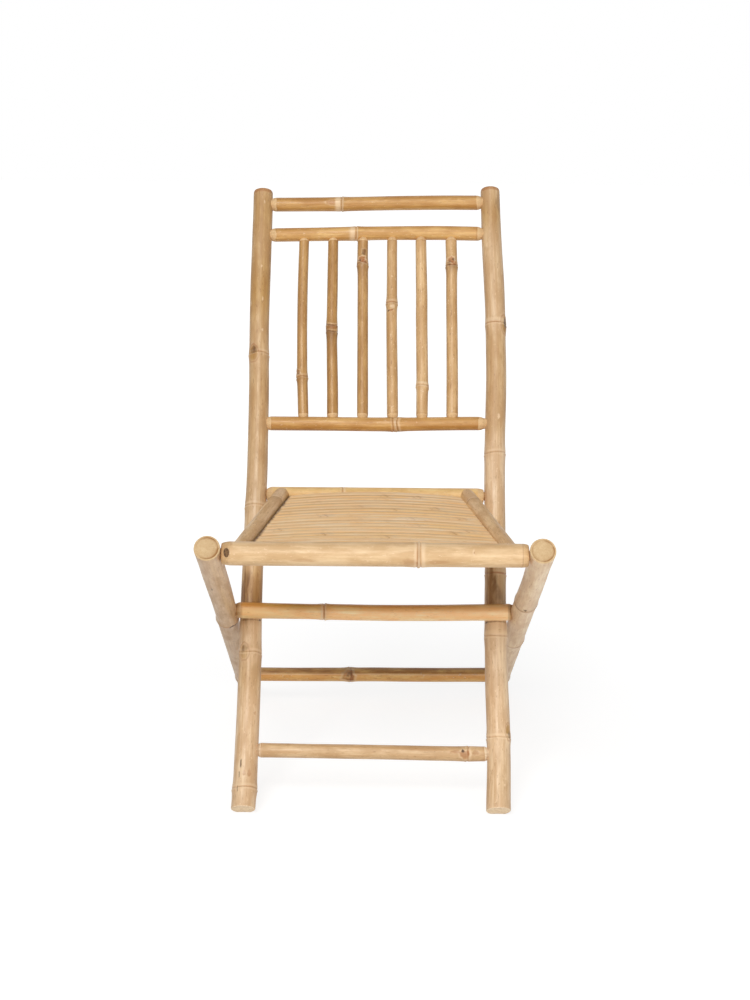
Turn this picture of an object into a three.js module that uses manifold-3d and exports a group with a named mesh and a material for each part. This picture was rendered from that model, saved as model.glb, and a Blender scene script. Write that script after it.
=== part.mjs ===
// A folding chair made of bamboo culms, standing open. Millimetres, +Z up, the chair's front towards -Y,
// and its side at +X is on the right of someone who looks at it from the front.
// A leaning back frame carries a seat of split slats on a pivot through its rear rail. A pair of legs turns
// on the seat's front rail, crosses the back frame and rests its stop bar on the fronts of the posts.
// The origin is on the floor, in the middle of the chair's outline.

import * as THREE from "three";
import { mergeVertices } from "three/addons/utils/BufferGeometryUtils.js";
import Module from "manifold-3d";

const wasm = await Module();
wasm.setup();

const degree = Math.PI / 180;

// How the open chair stands
const postSpacing = 373.5; // between the centre lines of the two posts
const postLean = 28.6 * degree; // back from upright
const legAngle = 34.45 * degree; // above the floor
const seatPivotHeight = 422.3; // of the seat's rear rail above the floor
const seatDepth = 340; // from the axis of the seat's rear rail to that of its front rail

// Clearances
const fit = 0.3; // left between pieces that touch
const legRunningGap = 1.1; // between a leg and its post where both are thickest
const frontPivotGap = 1.1; // between an end of the seat's front rail and the leg beside it
const rearPivotGap = 2.6; // the same for its rear rail, whose left post bends inwards beside it
const overrun = 2; // by which a cut passes the face that it opens

// How every culm is shaped
const culmSides = 16;
const slimCulmSides = 12;
const nodeHalfWidth = 5;
const nodeSwellShare = 0.05; // of the culm's radius
const wholeTurn = 2 * Math.PI;

// The sawn end of a culm with its edge broken: height above the end and radius, both as shares of the radius
const sawnEndShares = [
  [0, 0.86],
  [0.07, 0.95],
  [0.22, 1],
];

// The whittled end of a rail: first the tenon, in shares of the depth of its socket, then the end that shows
// outside the socket, in shares of the whittled length, each with its share of the rail's radius
const tenonShares = [
  [-1, 0.66],
  [-0.28, 0.7],
];
const whittleShares = [
  [0, 0.84],
  [0.45, 0.95],
  [1, 1],
];

// Posts of the back frame
const postFootRadius = 18.1;
const postTopRadius = 16.2;
const postLength = 1000.3; // along the lean, from the floor line
const postTopSkew = 3.4; // by which the right post is longer and the left one shorter
const postFootDrop = 0.8; // of the middle of the foot's end below the floor line
const leftPostNodeShares = [0.034, 0.233, 0.464, 0.712];
const rightPostNodeShares = [0.109, 0.261, 0.357, 0.547, 0.763];
// Forward bend of the feet: share of the length, then the shift as a share of the foot's radius
const footBendShares = [
  [0, -1.15],
  [0.034, -0.72],
  [0.11, -0.2],
  [0.17, 0],
  [1, 0],
];
// Natural bends: share of the length, then the sideways shift towards +X as a share of the foot's radius
const leftPostBowShares = [
  [0, -0.2],
  [0.034, -0.13],
  [0.13, -0.04],
  [0.233, 0],
  [0.33, 0.01],
  [0.464, 0.13],
  [0.58, 0.14],
  [0.712, 0.03],
  [1, 0.03],
];
const rightPostBowShares = [
  [0, -0.07],
  [0.109, 0.04],
  [0.19, -0.05],
  [0.3, -0.06],
  [0.357, 0],
  [0.5, 0.02],
  [0.547, 0.08],
  [0.64, 0.22],
  [0.7, 0.31],
  [0.763, 0.31],
  [0.84, 0.2],
  [0.9, 0.1],
  [1, 0],
];

// Rails between the posts. Their places are measured along the lean.
const topRailDrop = 22.6; // below the tops of the posts
const upperRailDrop = 53.8; // below the top rail
const lowerRailRise = 117; // above the seat's rear rail
const footRailRise = 85; // above the floor line
const backRailRadius = 11.6;
const railSocketDepth = 19;
const railWhittle = 9;
const topRailAlong = postLength - topRailDrop;
const seatPivotAlong = seatPivotHeight / Math.cos(postLean);
// Radius, and how far the right end lies above the left one, as shares of the radius of a back rail
const backRails = [
  { name: "top_rail", along: topRailAlong, radiusShare: 1, skewShare: 0.55, nodeShares: [0.317] },
  {
    name: "upper_back_rail",
    along: topRailAlong - upperRailDrop,
    radiusShare: 0.99,
    skewShare: 0.43,
    nodeShares: [0.385],
  },
  {
    name: "lower_back_rail",
    along: seatPivotAlong + lowerRailRise,
    radiusShare: 0.98,
    skewShare: 0.23,
    nodeShares: [0.598],
  },
  { name: "front_foot_rail", along: footRailRise, radiusShare: 0.94, skewShare: -0.2, nodeShares: [0.905] },
];

// Spindles between the upper and the lower back rail, from left to right
const spindleSpacing = 47.9;
const spindleRowShift = 1.7; // of the middle of the row towards +X
const spindleRadius = 9.1;
const spindleRadiusShares = [0.92, 0.97, 0.97, 0.98, 1.04, 1.02];
const spindleLeanShares = [0.42, 0.37, 0.26, 0.13, 0.14, -0.04]; // shift of the lower end, of the radius
const spindleNodeShares = [0.215, 0.493, 0.884, 0.632, 0.172, 0.871]; // from the lower end up
const spindleSocketDepth = 10;
const spindleWhittle = 5;

// Legs, measured along each leg from the axis of the seat's front rail
const legFrontRadius = 17.2;
const legRearRadius = 16.4;
const legFrontReach = 22; // of the leg's front end past the front rail's axis
const legFootRise = 11; // of the middle of the foot's end above the floor
const rearFootRailUp = 77; // along the leg from its foot's end
const rearFootRailRadius = 12.4;
const stopBarRadius = 12.2;
const stopBarNodeShares = [0.316];
const rearFootRailNodeShares = [0.405];
const leftLegNodeShares = [0.43, 0.916];
const rightLegNodeShares = [0.303, 0.566, 0.897];
// Natural bends, towards +X
const leftLegBowShares = [
  [0, 0],
  [0.3, 0.08],
  [0.45, 0],
  [1, 0],
];
const rightLegBowShares = [
  [0, 0],
  [0.5, -0.02],
  [0.626, -0.05],
  [1, -0.04],
];

// Seat frame
const frontRailRadius = 16.3;
const rearRailRadius = 12.5;
const sideRailFrontRadius = 11.1;
const sideRailRearRadius = 12.5;
const sideRailFrontInset = 18.7; // of a side rail's axis from the front rail's end, at that rail's axis
const sideRailRearInset = 22.5; // the same at the rear rail
const frontRailNodeShares = [0.645];
const rearRailNodeShares = [0.343];
const sideRailNodeShares = [0.83];
const stubRadius = 7; // of the stub tenon at each end of a side rail
const socketWall = 3; // left between a stub tenon and the pivot dowel beside it
const pivotWhittle = 12;

// Pivot dowels, glued into the ends of the seat's front and rear rails
const dowelRadius = 7;
const frontDowelSeat = 22; // depth in the front rail
const dowelInset = 1.5; // of the dowel's end below the outer face of the leg or post

// Peg that locks the left front dowel, seen on the front of the rail
const pegHalfWidth = 3.6;
const pegHalfHeight = 5.6;
const pegFromRailEnd = 8;
const pegRise = 19 * degree; // of its direction above the level
const pegProud = 0.4;
const pegInDowel = 4;

// Slats, with the strips that they lie on
const slatCount = 18;
const slatGap = 0.7;
const slatThickness = 4.6;
const slatEdgeThickness = 3.5;
const slatEndTop = 3.2; // of a slat's upper face above the rails' axes, at its ends
const slatCrown = 7; // rise of the upper face from the ends to the middle
const slatRailGap = 1; // between the outer slats and the rails
const slatEndGap = 2.2; // between a slat's end and the side rail
const slatStepShares = [-1, -0.72, -0.4, 0, 0.4, 0.72, 1]; // cross sections along a slat's half length
const ledgerWidth = 12;
const ledgerDepth = 9.5;
const ledgerEndGap = 3; // short of the rails
const bearerRadius = 8;
const bearerSocketDepth = 7;
const bearerWhittle = 4;
const bearerNodeShares = [0.4];

const materials = {
  post: finish(0xd8b47f, 0.5),
  leg: finish(0xd6b283, 0.48),
  rail: finish(0xd9b37a, 0.48),
  spindle: finish(0xd3a970, 0.5),
  darkRail: finish(0xb58a52, 0.52),
  frontRail: finish(0xe4c48f, 0.45),
  sideRail: finish(0xcfa878, 0.5),
  slat: finish(0xe3c58d, 0.5),
  strip: finish(0xd2ac74, 0.6),
  dowel: finish(0xc79c68, 0.7),
  peg: finish(0x7a5530, 0.8),
};

function finish(color, roughness) {
  return new THREE.MeshStandardMaterial({ color, roughness, metalness: 0 });
}

// The frames that the pieces are drawn in. In the back frame's group +Z runs up the posts and +Y is behind them.
// In the legs' group +Z runs down the legs from the front rail. The seat's group lies level at its rear rail.
const chair = new THREE.Group();
const backFrame = new THREE.Group();
const seat = new THREE.Group();
const legFrame = new THREE.Group();
chair.add(backFrame, seat, legFrame);

const seatPivot = new THREE.Vector3(0, seatPivotHeight * Math.tan(postLean), seatPivotHeight);
const legPivot = new THREE.Vector3(0, seatPivot.y - seatDepth, seatPivotHeight);
backFrame.rotation.x = -postLean;
seat.position.copy(seatPivot);
legFrame.position.copy(legPivot);
legFrame.rotation.x = -(Math.PI / 2 + legAngle);
chair.updateMatrixWorld(true);

const legSpacing = postSpacing + 2 * (postFootRadius + legFrontRadius + legRunningGap);
const legLength = (seatPivotHeight - legFootRise) / Math.sin(legAngle);
const stopBarAlong = findStopBar();

function postRadiusAt(along) {
  return THREE.MathUtils.lerp(postFootRadius, postTopRadius, along / postLength);
}

function legRadiusAt(along) {
  return THREE.MathUtils.lerp(legFrontRadius, legRearRadius, along / legLength);
}

// The stop bar touches the fronts of the posts, which settles its place along the legs.
function findStopBar() {
  const postFront = new THREE.Vector3(0, -Math.cos(postLean), Math.sin(postLean));
  const postUp = new THREE.Vector3(0, Math.sin(postLean), Math.cos(postLean));
  const legDown = new THREE.Vector3(0, Math.cos(legAngle), -Math.sin(legAngle));
  const crossing = legPivot.dot(postFront) / -legDown.dot(postFront);
  const crossingOnPost = legPivot.clone().addScaledVector(legDown, crossing).dot(postUp);
  const reach = postRadiusAt(crossingOnPost) + stopBarRadius + fit;
  return (reach - legPivot.dot(postFront)) / legDown.dot(postFront);
}

// Value at a share between the points of a table of shares
function alongTable(table, share) {
  const next = table.findIndex(([at]) => at >= share);
  if (next <= 0) return table[next < 0 ? table.length - 1 : 0][1];
  const [from, a] = table[next - 1];
  const [to, b] = table[next];
  return THREE.MathUtils.lerp(a, b, (share - from) / (to - from));
}

// One closed surface through rings of points. Each has its height z and radius r, and may be shifted by x and y
// and tilted by a slope, so that it stays square to a culm that bends towards y.
function ringSurface(rings, sides) {
  const points = [];
  const faces = [];
  for (const { z, r, x = 0, y = 0, slope = 0 } of rings)
    for (let k = 0; k < sides; k++) {
      const turn = (wholeTurn * k) / sides;
      const across = r * Math.sin(turn);
      points.push(x + r * Math.cos(turn), y + across, z - slope * across);
    }
  const first = points.length / 3;
  const last = rings.length - 1;
  for (const { z, x = 0, y = 0 } of [rings[0], rings[last]]) points.push(x, y, z);
  for (let k = 0; k < sides; k++) {
    const next = (k + 1) % sides;
    faces.push(first, next, k, first + 1, last * sides + k, last * sides + next);
    for (let ring = 0; ring < last; ring++) {
      const a = ring * sides;
      const b = a + sides;
      faces.push(a + k, a + next, b + next, a + k, b + next, b + k);
    }
  }
  return new THREE.BufferGeometry()
    .setAttribute("position", new THREE.Float32BufferAttribute(points, 3))
    .setIndex(faces);
}

// The rings of one culm from z = 0 to its length. Its ends are rounded, sawn or whittled to a tenon that
// reaches past them by the depth of the socket. grow makes it larger all round, as the socket it fits in.
function culmRings(culm, grow = 0) {
  const { length, from, to = from, nodeShares, bow, bend, ends, depth = 0, whittle = 0 } = culm;
  const radiusAt = (z) => THREE.MathUtils.lerp(from, to, THREE.MathUtils.clamp(z / length, 0, 1));
  const shiftAt = (table, z) => (table ? alongTable(table, THREE.MathUtils.clamp(z / length, 0, 1)) * from : 0);
  const slopeAt = (table, z) => {
    const low = THREE.MathUtils.clamp(z - nodeHalfWidth, 0, length - nodeHalfWidth);
    const high = THREE.MathUtils.clamp(z + nodeHalfWidth, nodeHalfWidth, length);
    return (shiftAt(table, high) - shiftAt(table, low)) / (high - low);
  };
  const endRings = (kind) => {
    if (kind === "sawn") return sawnEndShares.map(([at, share]) => [at * from, share]);
    const tenon = kind === "tenon" ? tenonShares.map(([at, share]) => [at * depth, share]) : [];
    return [...tenon, ...whittleShares.map(([at, share]) => [at * whittle, share])];
  };
  const between = [];
  for (const share of nodeShares) {
    const z = share * length;
    between.push({ z: z - nodeHalfWidth, r: radiusAt(z) });
    between.push({ z, r: radiusAt(z) * (1 + nodeSwellShare) });
    between.push({ z: z + nodeHalfWidth, r: radiusAt(z) });
  }
  for (const [share] of [...(bow ?? []), ...(bend ?? [])]) {
    const z = share * length;
    const clear = between.every((ring) => Math.abs(ring.z - z) > 2 * nodeHalfWidth);
    if (clear && z > from && z < length - from) between.push({ z, r: radiusAt(z) });
  }
  const rings = [
    ...endRings(ends[0]).map(([z, share]) => ({ z, r: radiusAt(z) * share })),
    ...between.sort((a, b) => a.z - b.z),
    ...endRings(ends[1]).reverse().map(([z, share]) => ({ z: length - z, r: radiusAt(length - z) * share })),
  ];
  rings[0].z -= grow;
  rings[rings.length - 1].z += grow;
  return rings.map(({ z, r }) => ({
    z,
    r: r + grow,
    x: shiftAt(bow, z),
    y: shiftAt(bend, z),
    slope: slopeAt(bend, z),
  }));
}

// A geometry drawn along +Z, moved so that it runs from one point towards another
function laid(geometry, start, end) {
  const direction = end.clone().sub(start).normalize();
  const turn = new THREE.Quaternion().setFromUnitVectors(new THREE.Vector3(0, 0, 1), direction);
  return geometry.applyQuaternion(turn).translate(start.x, start.y, start.z);
}

// A culm from start to end, and the same culm grown by the fit to cut its sockets with
function makeCulm({ start, end, sides = culmSides, ...shape }) {
  const length = start.distanceTo(end);
  const draw = (grow) => solidOf(laid(ringSurface(culmRings({ ...shape, length }, grow), sides), start, end));
  return { solid: draw(0), socket: draw(fit) };
}

// A round bar from start to end, and the same bar grown by the fit
function makeBar(start, end, radius) {
  const draw = (grow) => {
    const rings = [
      { z: -grow, r: radius + grow },
      { z: start.distanceTo(end) + grow, r: radius + grow },
    ];
    return solidOf(laid(ringSurface(rings, culmSides), start, end));
  };
  return { solid: draw(0), socket: draw(fit) };
}

function solidOf(geometry) {
  return new wasm.Manifold(
    new wasm.Mesh({
      numProp: 3,
      vertProperties: geometry.getAttribute("position").array,
      triVerts: new Uint32Array(geometry.getIndex().array),
    }),
  );
}

function geometryOf(solid) {
  const { vertProperties, triVerts } = solid.getMesh();
  const geometry = new THREE.BufferGeometry()
    .setAttribute("position", new THREE.BufferAttribute(vertProperties, 3))
    .setIndex(new THREE.BufferAttribute(triVerts, 1));
  geometry.computeVertexNormals();
  return geometry;
}

function cut(solid, tools) {
  return tools.reduce((rest, tool) => rest.subtract(tool), solid);
}

function addPiece(group, name, solid, material) {
  const mesh = new THREE.Mesh(geometryOf(solid), material);
  mesh.name = name;
  group.add(mesh);
}

// A box centred on its own origin
function box(width, depth, height) {
  const geometry = new THREE.BoxGeometry(width, depth, height);
  geometry.deleteAttribute("normal");
  geometry.deleteAttribute("uv");
  return mergeVertices(geometry);
}

// A block under the floor, in a group's own frame, that cuts the feet flat
function floorBlock(group) {
  const size = 2 * postLength;
  const block = box(size, size, size).translate(0, 0, -size / 2);
  return solidOf(block.applyMatrix4(group.matrixWorld.clone().invert()));
}

const sidesOfChair = [
  { side: "left", sign: -1 },
  { side: "right", sign: 1 },
];

// Height along the lean of a rail's axis at a place across the chair
function railHeightAt({ along, skewShare }, x) {
  return along + (skewShare * backRailRadius * x) / postSpacing;
}

function makeBackRail(rail) {
  const endAt = (sign) => {
    const height = railHeightAt(rail, (sign * postSpacing) / 2);
    const bend = alongTable(footBendShares, height / postLength) * postFootRadius;
    return new THREE.Vector3(sign * (postSpacing / 2 - postRadiusAt(height)), bend, height);
  };
  return makeCulm({
    start: endAt(-1),
    end: endAt(1),
    from: backRailRadius * rail.radiusShare,
    nodeShares: rail.nodeShares,
    ends: ["tenon", "tenon"],
    depth: railSocketDepth,
    whittle: railWhittle,
  });
}

function makePost(sign) {
  const left = sign < 0;
  const x = (sign * postSpacing) / 2;
  return makeCulm({
    start: new THREE.Vector3(x, 0, -postFootDrop),
    end: new THREE.Vector3(x, 0, postLength + sign * postTopSkew),
    from: postFootRadius,
    to: postTopRadius,
    nodeShares: left ? leftPostNodeShares : rightPostNodeShares,
    bow: left ? leftPostBowShares : rightPostBowShares,
    bend: footBendShares,
    ends: ["sawn", "sawn"],
  });
}

function makeSpindle(i, lower, upper) {
  const radius = spindleRadius * spindleRadiusShares[i];
  const top = (i - (spindleRadiusShares.length - 1) / 2) * spindleSpacing + spindleRowShift;
  const bottom = top + spindleLeanShares[i] * spindleRadius;
  return makeCulm({
    start: new THREE.Vector3(bottom, 0, railHeightAt(lower, bottom) + backRailRadius * lower.radiusShare),
    end: new THREE.Vector3(top, 0, railHeightAt(upper, top) - backRailRadius * upper.radiusShare),
    from: radius,
    nodeShares: [spindleNodeShares[i]],
    ends: ["tenon", "tenon"],
    depth: spindleSocketDepth,
    whittle: spindleWhittle,
    sides: slimCulmSides,
  });
}

const frontRailEnd = legSpacing / 2 - legFrontRadius - frontPivotGap;
const rearRailEnd = postSpacing / 2 - postFootRadius - rearPivotGap;
const sideRailFrontOffset = frontRailEnd - sideRailFrontInset;
const sideRailRearOffset = rearRailEnd - sideRailRearInset;
const frontDowelStart = frontRailEnd - frontDowelSeat;
const rearDowelStart = sideRailRearOffset + stubRadius + socketWall;
const frontAxisY = -seatDepth; // in the seat's group, whose own origin is on the rear rail's axis

// The dowel at one end of a pivoting rail, from inside the rail to the outer face of what turns on it
function makeDowel(innerEnd, outerFace, y, z, sign) {
  const start = new THREE.Vector3(sign * innerEnd, y, z);
  return makeBar(start, new THREE.Vector3(sign * (outerFace - dowelInset), y, z), dowelRadius);
}

function buildBackFrame() {
  const rails = backRails.map((rail) => ({ ...rail, ...makeBackRail(rail) }));
  const [, upper, lower] = rails;
  const spindles = spindleRadiusShares.map((_, i) => makeSpindle(i, lower, upper));
  const floor = floorBlock(backFrame);
  for (const { side, sign } of sidesOfChair) {
    const dowel = makeDowel(rearDowelStart, postSpacing / 2 + 2 * postFootRadius, 0, seatPivotAlong, sign);
    const tools = [...rails.map((rail) => rail.socket), dowel.socket, floor];
    addPiece(backFrame, side + "_post", cut(makePost(sign).solid, tools), materials.post);
  }
  for (const rail of rails) {
    const drilled = rail === upper || rail === lower;
    const tools = drilled ? spindles.map((spindle) => spindle.socket) : [];
    addPiece(backFrame, rail.name, cut(rail.solid, tools), materials.rail);
  }
  spindles.forEach((spindle, i) => {
    addPiece(backFrame, "back_spindle_" + (i + 1), spindle.solid, materials.spindle);
  });
}

function makeLegRail(along, radius, nodeShares) {
  const half = legSpacing / 2 - legRadiusAt(along);
  return makeCulm({
    start: new THREE.Vector3(-half, 0, along),
    end: new THREE.Vector3(half, 0, along),
    from: radius,
    nodeShares,
    ends: ["tenon", "tenon"],
    depth: railSocketDepth,
    whittle: railWhittle,
  });
}

function makeLeg(sign) {
  const left = sign < 0;
  const x = (sign * legSpacing) / 2;
  return makeCulm({
    start: new THREE.Vector3(x, 0, -legFrontReach),
    end: new THREE.Vector3(x, 0, legLength),
    from: legFrontRadius,
    to: legRearRadius,
    nodeShares: left ? leftLegNodeShares : rightLegNodeShares,
    bow: left ? leftLegBowShares : rightLegBowShares,
    ends: ["sawn", "sawn"],
  });
}

function buildLegFrame() {
  const stopBar = makeLegRail(stopBarAlong, stopBarRadius, stopBarNodeShares);
  const footRailAlong = legLength - rearFootRailUp;
  const rearFootRail = makeLegRail(footRailAlong, rearFootRailRadius, rearFootRailNodeShares);
  const floor = floorBlock(legFrame);
  for (const { side, sign } of sidesOfChair) {
    const dowel = makeDowel(frontDowelStart, legSpacing / 2 + 2 * legFrontRadius, 0, 0, sign);
    const tools = [stopBar.socket, rearFootRail.socket, dowel.socket, floor];
    addPiece(legFrame, side + "_leg", cut(makeLeg(sign).solid, tools), materials.leg);
  }
  addPiece(legFrame, "stop_bar", stopBar.solid, materials.rail);
  addPiece(legFrame, "rear_foot_rail", rearFootRail.solid, materials.darkRail);
}

// Half the seat frame's width at a distance in front of the rear rail, to the side rails' axes
function sideRailOffset(forward) {
  return THREE.MathUtils.lerp(sideRailRearOffset, sideRailFrontOffset, forward / seatDepth);
}

function sideRailRadiusAt(forward) {
  return THREE.MathUtils.lerp(sideRailRearRadius, sideRailFrontRadius, forward / seatDepth);
}

function sideRailPoint(sign, forward) {
  return new THREE.Vector3(sign * sideRailOffset(forward), -forward, 0);
}

// A side rail coped to the front and rear rails, with a stub tenon at each end
function makeSideRail(sign, railTools) {
  const rail = makeCulm({
    start: sideRailPoint(sign, seatDepth - overrun),
    end: sideRailPoint(sign, overrun),
    from: sideRailFrontRadius,
    to: sideRailRearRadius,
    nodeShares: sideRailNodeShares,
    ends: ["sawn", "sawn"],
  });
  const frontTip = sideRailPoint(sign, seatDepth - dowelRadius - socketWall);
  const stub = makeBar(sideRailPoint(sign, 0), frontTip, stubRadius);
  return { solid: cut(rail.solid, railTools).add(stub.solid), socket: stub.socket };
}

function makeCrossRail(y, halfLength, radius, nodeShares) {
  return makeCulm({
    start: new THREE.Vector3(-halfLength, y, 0),
    end: new THREE.Vector3(halfLength, y, 0),
    from: radius,
    nodeShares,
    ends: ["whittled", "whittled"],
    whittle: pivotWhittle,
  });
}

// The oval peg through the front of the rail into the left dowel
function makePeg() {
  const x = -(frontRailEnd - pegFromRailEnd);
  const outwards = new THREE.Vector3(0, -Math.cos(pegRise), Math.sin(pegRise));
  const axis = new THREE.Vector3(x, frontAxisY, 0);
  const inner = dowelRadius - pegInDowel;
  const outer = frontRailRadius * alongTable(whittleShares, pegFromRailEnd / pivotWhittle) + pegProud;
  const draw = (grow) => {
    const rings = [inner - grow, outer + grow].map((z) => ({ z, r: pegHalfHeight + grow }));
    const narrowing = (pegHalfWidth + grow) / (pegHalfHeight + grow);
    const peg = ringSurface(rings, slimCulmSides).scale(1, narrowing, 1);
    const upright = new THREE.Matrix4().makeBasis(
      new THREE.Vector3(0, Math.sin(pegRise), Math.cos(pegRise)),
      new THREE.Vector3(-1, 0, 0),
      outwards,
    );
    return solidOf(peg.applyMatrix4(upright).translate(axis.x, axis.y, axis.z));
  };
  return { solid: draw(0), socket: draw(fit) };
}

// One slat across the seat: a split strip with a rounded upper face, arched from side to side
function makeSlat(i) {
  const rear = rearRailRadius + slatRailGap;
  const pitch = (seatDepth - frontRailRadius - slatRailGap - rear) / slatCount;
  const width = pitch - slatGap;
  const forward = rear + pitch * i + slatGap / 2;
  const halfLength = sideRailOffset(forward) - sideRailRadiusAt(forward) - slatEndGap;
  const section = [
    [0, -slatThickness],
    [0, -slatThickness + slatEdgeThickness],
    [width / 2, 0],
    [width, -slatThickness + slatEdgeThickness],
    [width, -slatThickness],
  ];
  const points = [];
  const faces = [];
  for (const share of slatStepShares)
    for (const [along, height] of section) {
      const top = slatEndTop + slatCrown * (1 - share * share);
      points.push(share * halfLength, -(forward + along), top + height);
    }
  const n = section.length;
  const last = (slatStepShares.length - 1) * n;
  for (let k = 1; k < n - 1; k++) faces.push(0, k + 1, k, last, last + k, last + k + 1);
  for (let a = 0; a < last; a += n)
    for (let k = 0; k < n; k++) {
      const next = (k + 1) % n;
      faces.push(a + k, a + n + next, a + n + k, a + k, a + next, a + n + next);
    }
  return solidOf(
    new THREE.BufferGeometry()
      .setAttribute("position", new THREE.Float32BufferAttribute(points, 3))
      .setIndex(faces),
  );
}

// The strip beside a side rail that the slats' ends lie on
function makeLedger(sign) {
  const top = slatEndTop - slatThickness - fit;
  const inwards = sideRailRearRadius * (1 + nodeSwellShare) + fit + ledgerWidth / 2;
  const rear = sideRailPoint(sign, rearRailRadius + ledgerEndGap);
  const front = sideRailPoint(sign, seatDepth - frontRailRadius - ledgerEndGap);
  const length = rear.distanceTo(front);
  const middle = rear.clone().add(front).multiplyScalar(0.5);
  const splay = Math.atan2(front.x - rear.x, rear.y - front.y);
  const strip = box(ledgerWidth, length, ledgerDepth);
  strip.translate(-sign * inwards, 0, top - ledgerDepth / 2).rotateZ(splay);
  return solidOf(strip.translate(middle.x, middle.y, 0));
}

function makeBearer() {
  const height = slatEndTop + slatCrown - slatThickness - fit - bearerRadius * (1 + nodeSwellShare);
  const start = new THREE.Vector3(0, -Math.sqrt(rearRailRadius ** 2 - height ** 2), height);
  const reach = Math.sqrt(frontRailRadius ** 2 - height ** 2);
  return makeCulm({
    start,
    end: new THREE.Vector3(0, frontAxisY + reach, height),
    from: bearerRadius,
    nodeShares: bearerNodeShares,
    ends: ["tenon", "tenon"],
    depth: bearerSocketDepth,
    whittle: bearerWhittle,
    sides: slimCulmSides,
  });
}

function buildSeat() {
  const front = makeCrossRail(frontAxisY, frontRailEnd, frontRailRadius, frontRailNodeShares);
  const rear = makeCrossRail(0, rearRailEnd, rearRailRadius, rearRailNodeShares);
  const bearer = makeBearer();
  const peg = makePeg();
  const sideRails = sidesOfChair.map(({ sign }) => makeSideRail(sign, [front.socket, rear.socket]));
  const stubs = sideRails.map((rail) => rail.socket);
  const dowelsOf = (innerEnd, outerFace, y) =>
    sidesOfChair.map(({ sign }) => makeDowel(innerEnd, outerFace, y, 0, sign));
  const legOuterFace = legSpacing / 2 + legFrontRadius;
  const postOuterFace = postSpacing / 2 + postRadiusAt(seatPivotAlong);
  const frontDowels = dowelsOf(frontDowelStart, legOuterFace, frontAxisY);
  const rearDowels = dowelsOf(rearDowelStart, postOuterFace, 0);
  const frontTools = [...stubs, bearer.socket, peg.socket, ...frontDowels.map((dowel) => dowel.socket)];
  const rearTools = [...stubs, bearer.socket, ...rearDowels.map((dowel) => dowel.socket)];
  addPiece(seat, "front_seat_rail", cut(front.solid, frontTools), materials.frontRail);
  addPiece(seat, "rear_seat_rail", cut(rear.solid, rearTools), materials.rail);
  sidesOfChair.forEach(({ side, sign }, i) => {
    addPiece(seat, side + "_side_rail", sideRails[i].solid, materials.sideRail);
    const frontTool = sign < 0 ? [peg.socket] : [];
    addPiece(seat, "front_" + side + "_pivot_dowel", cut(frontDowels[i].solid, frontTool), materials.dowel);
    addPiece(seat, "rear_" + side + "_pivot_dowel", rearDowels[i].solid, materials.dowel);
    addPiece(seat, side + "_slat_ledger", makeLedger(sign), materials.strip);
  });
  addPiece(seat, "dowel_peg", peg.solid, materials.peg);
  addPiece(seat, "centre_slat_bearer", bearer.solid, materials.strip);
  for (let i = 0; i < slatCount; i++) {
    const number = String(i + 1).padStart(2, "0");
    addPiece(seat, "seat_slat_" + number, makeSlat(i), materials.slat);
  }
}

buildBackFrame();
buildSeat();
buildLegFrame();

const outline = new THREE.Box3().setFromObject(chair, true);
chair.position.y = -(outline.min.y + outline.max.y) / 2;

export default chair;
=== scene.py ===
# %% [markdown]
# A folding chair made of bamboo culms. Two long posts lean back and carry rails and spindles. A seat of split
# slats hangs between them, and a pair of legs crosses the posts behind the seat's front rail.
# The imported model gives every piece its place, so this file only has to make surfaces and finishes. Lengths are
# written in millimetres, as a maker would measure them, and turned into metres where a mesh is made. +Z is up,
# the chair's front is towards -Y and the viewer's right is at +X.

import math

import bpy
import numpy as np
from mathutils import Matrix, Vector


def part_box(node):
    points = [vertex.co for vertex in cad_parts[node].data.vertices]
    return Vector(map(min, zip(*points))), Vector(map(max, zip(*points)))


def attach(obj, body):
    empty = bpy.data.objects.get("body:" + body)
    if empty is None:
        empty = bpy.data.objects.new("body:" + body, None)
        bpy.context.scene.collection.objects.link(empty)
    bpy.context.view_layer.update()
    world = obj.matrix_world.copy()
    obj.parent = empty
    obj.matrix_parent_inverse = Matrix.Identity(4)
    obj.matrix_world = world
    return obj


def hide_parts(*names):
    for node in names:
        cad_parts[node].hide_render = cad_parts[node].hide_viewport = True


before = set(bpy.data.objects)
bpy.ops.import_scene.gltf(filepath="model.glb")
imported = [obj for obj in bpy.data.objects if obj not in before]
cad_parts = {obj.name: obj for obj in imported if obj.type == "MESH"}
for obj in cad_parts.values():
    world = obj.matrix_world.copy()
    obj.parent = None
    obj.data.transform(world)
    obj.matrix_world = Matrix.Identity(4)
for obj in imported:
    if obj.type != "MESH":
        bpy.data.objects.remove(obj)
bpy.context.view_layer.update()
MM = 0.001

# %% [markdown]
# The camera stands a little above the seat and close to the chair, so the posts and the legs run together with
# distance. Its height, distance and lens were worked out from how far they do so in the photograph. It looks
# slightly down and is turned by about half a degree, which tilts every rail a little.

# %% The camera
FLOOR_LINE_Y = -0.180763  # where the posts' axes meet the floor
CAMERA_PLACE = Vector((-0.0084, FLOOR_LINE_Y - 2.040, 0.965))
LOOK_DOWN, LOOK_RIGHT, TURN = math.radians(13.62), math.radians(0.23), math.radians(0.52)
LENS_MM, FILM_MM = 54.0, 36.0


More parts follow.
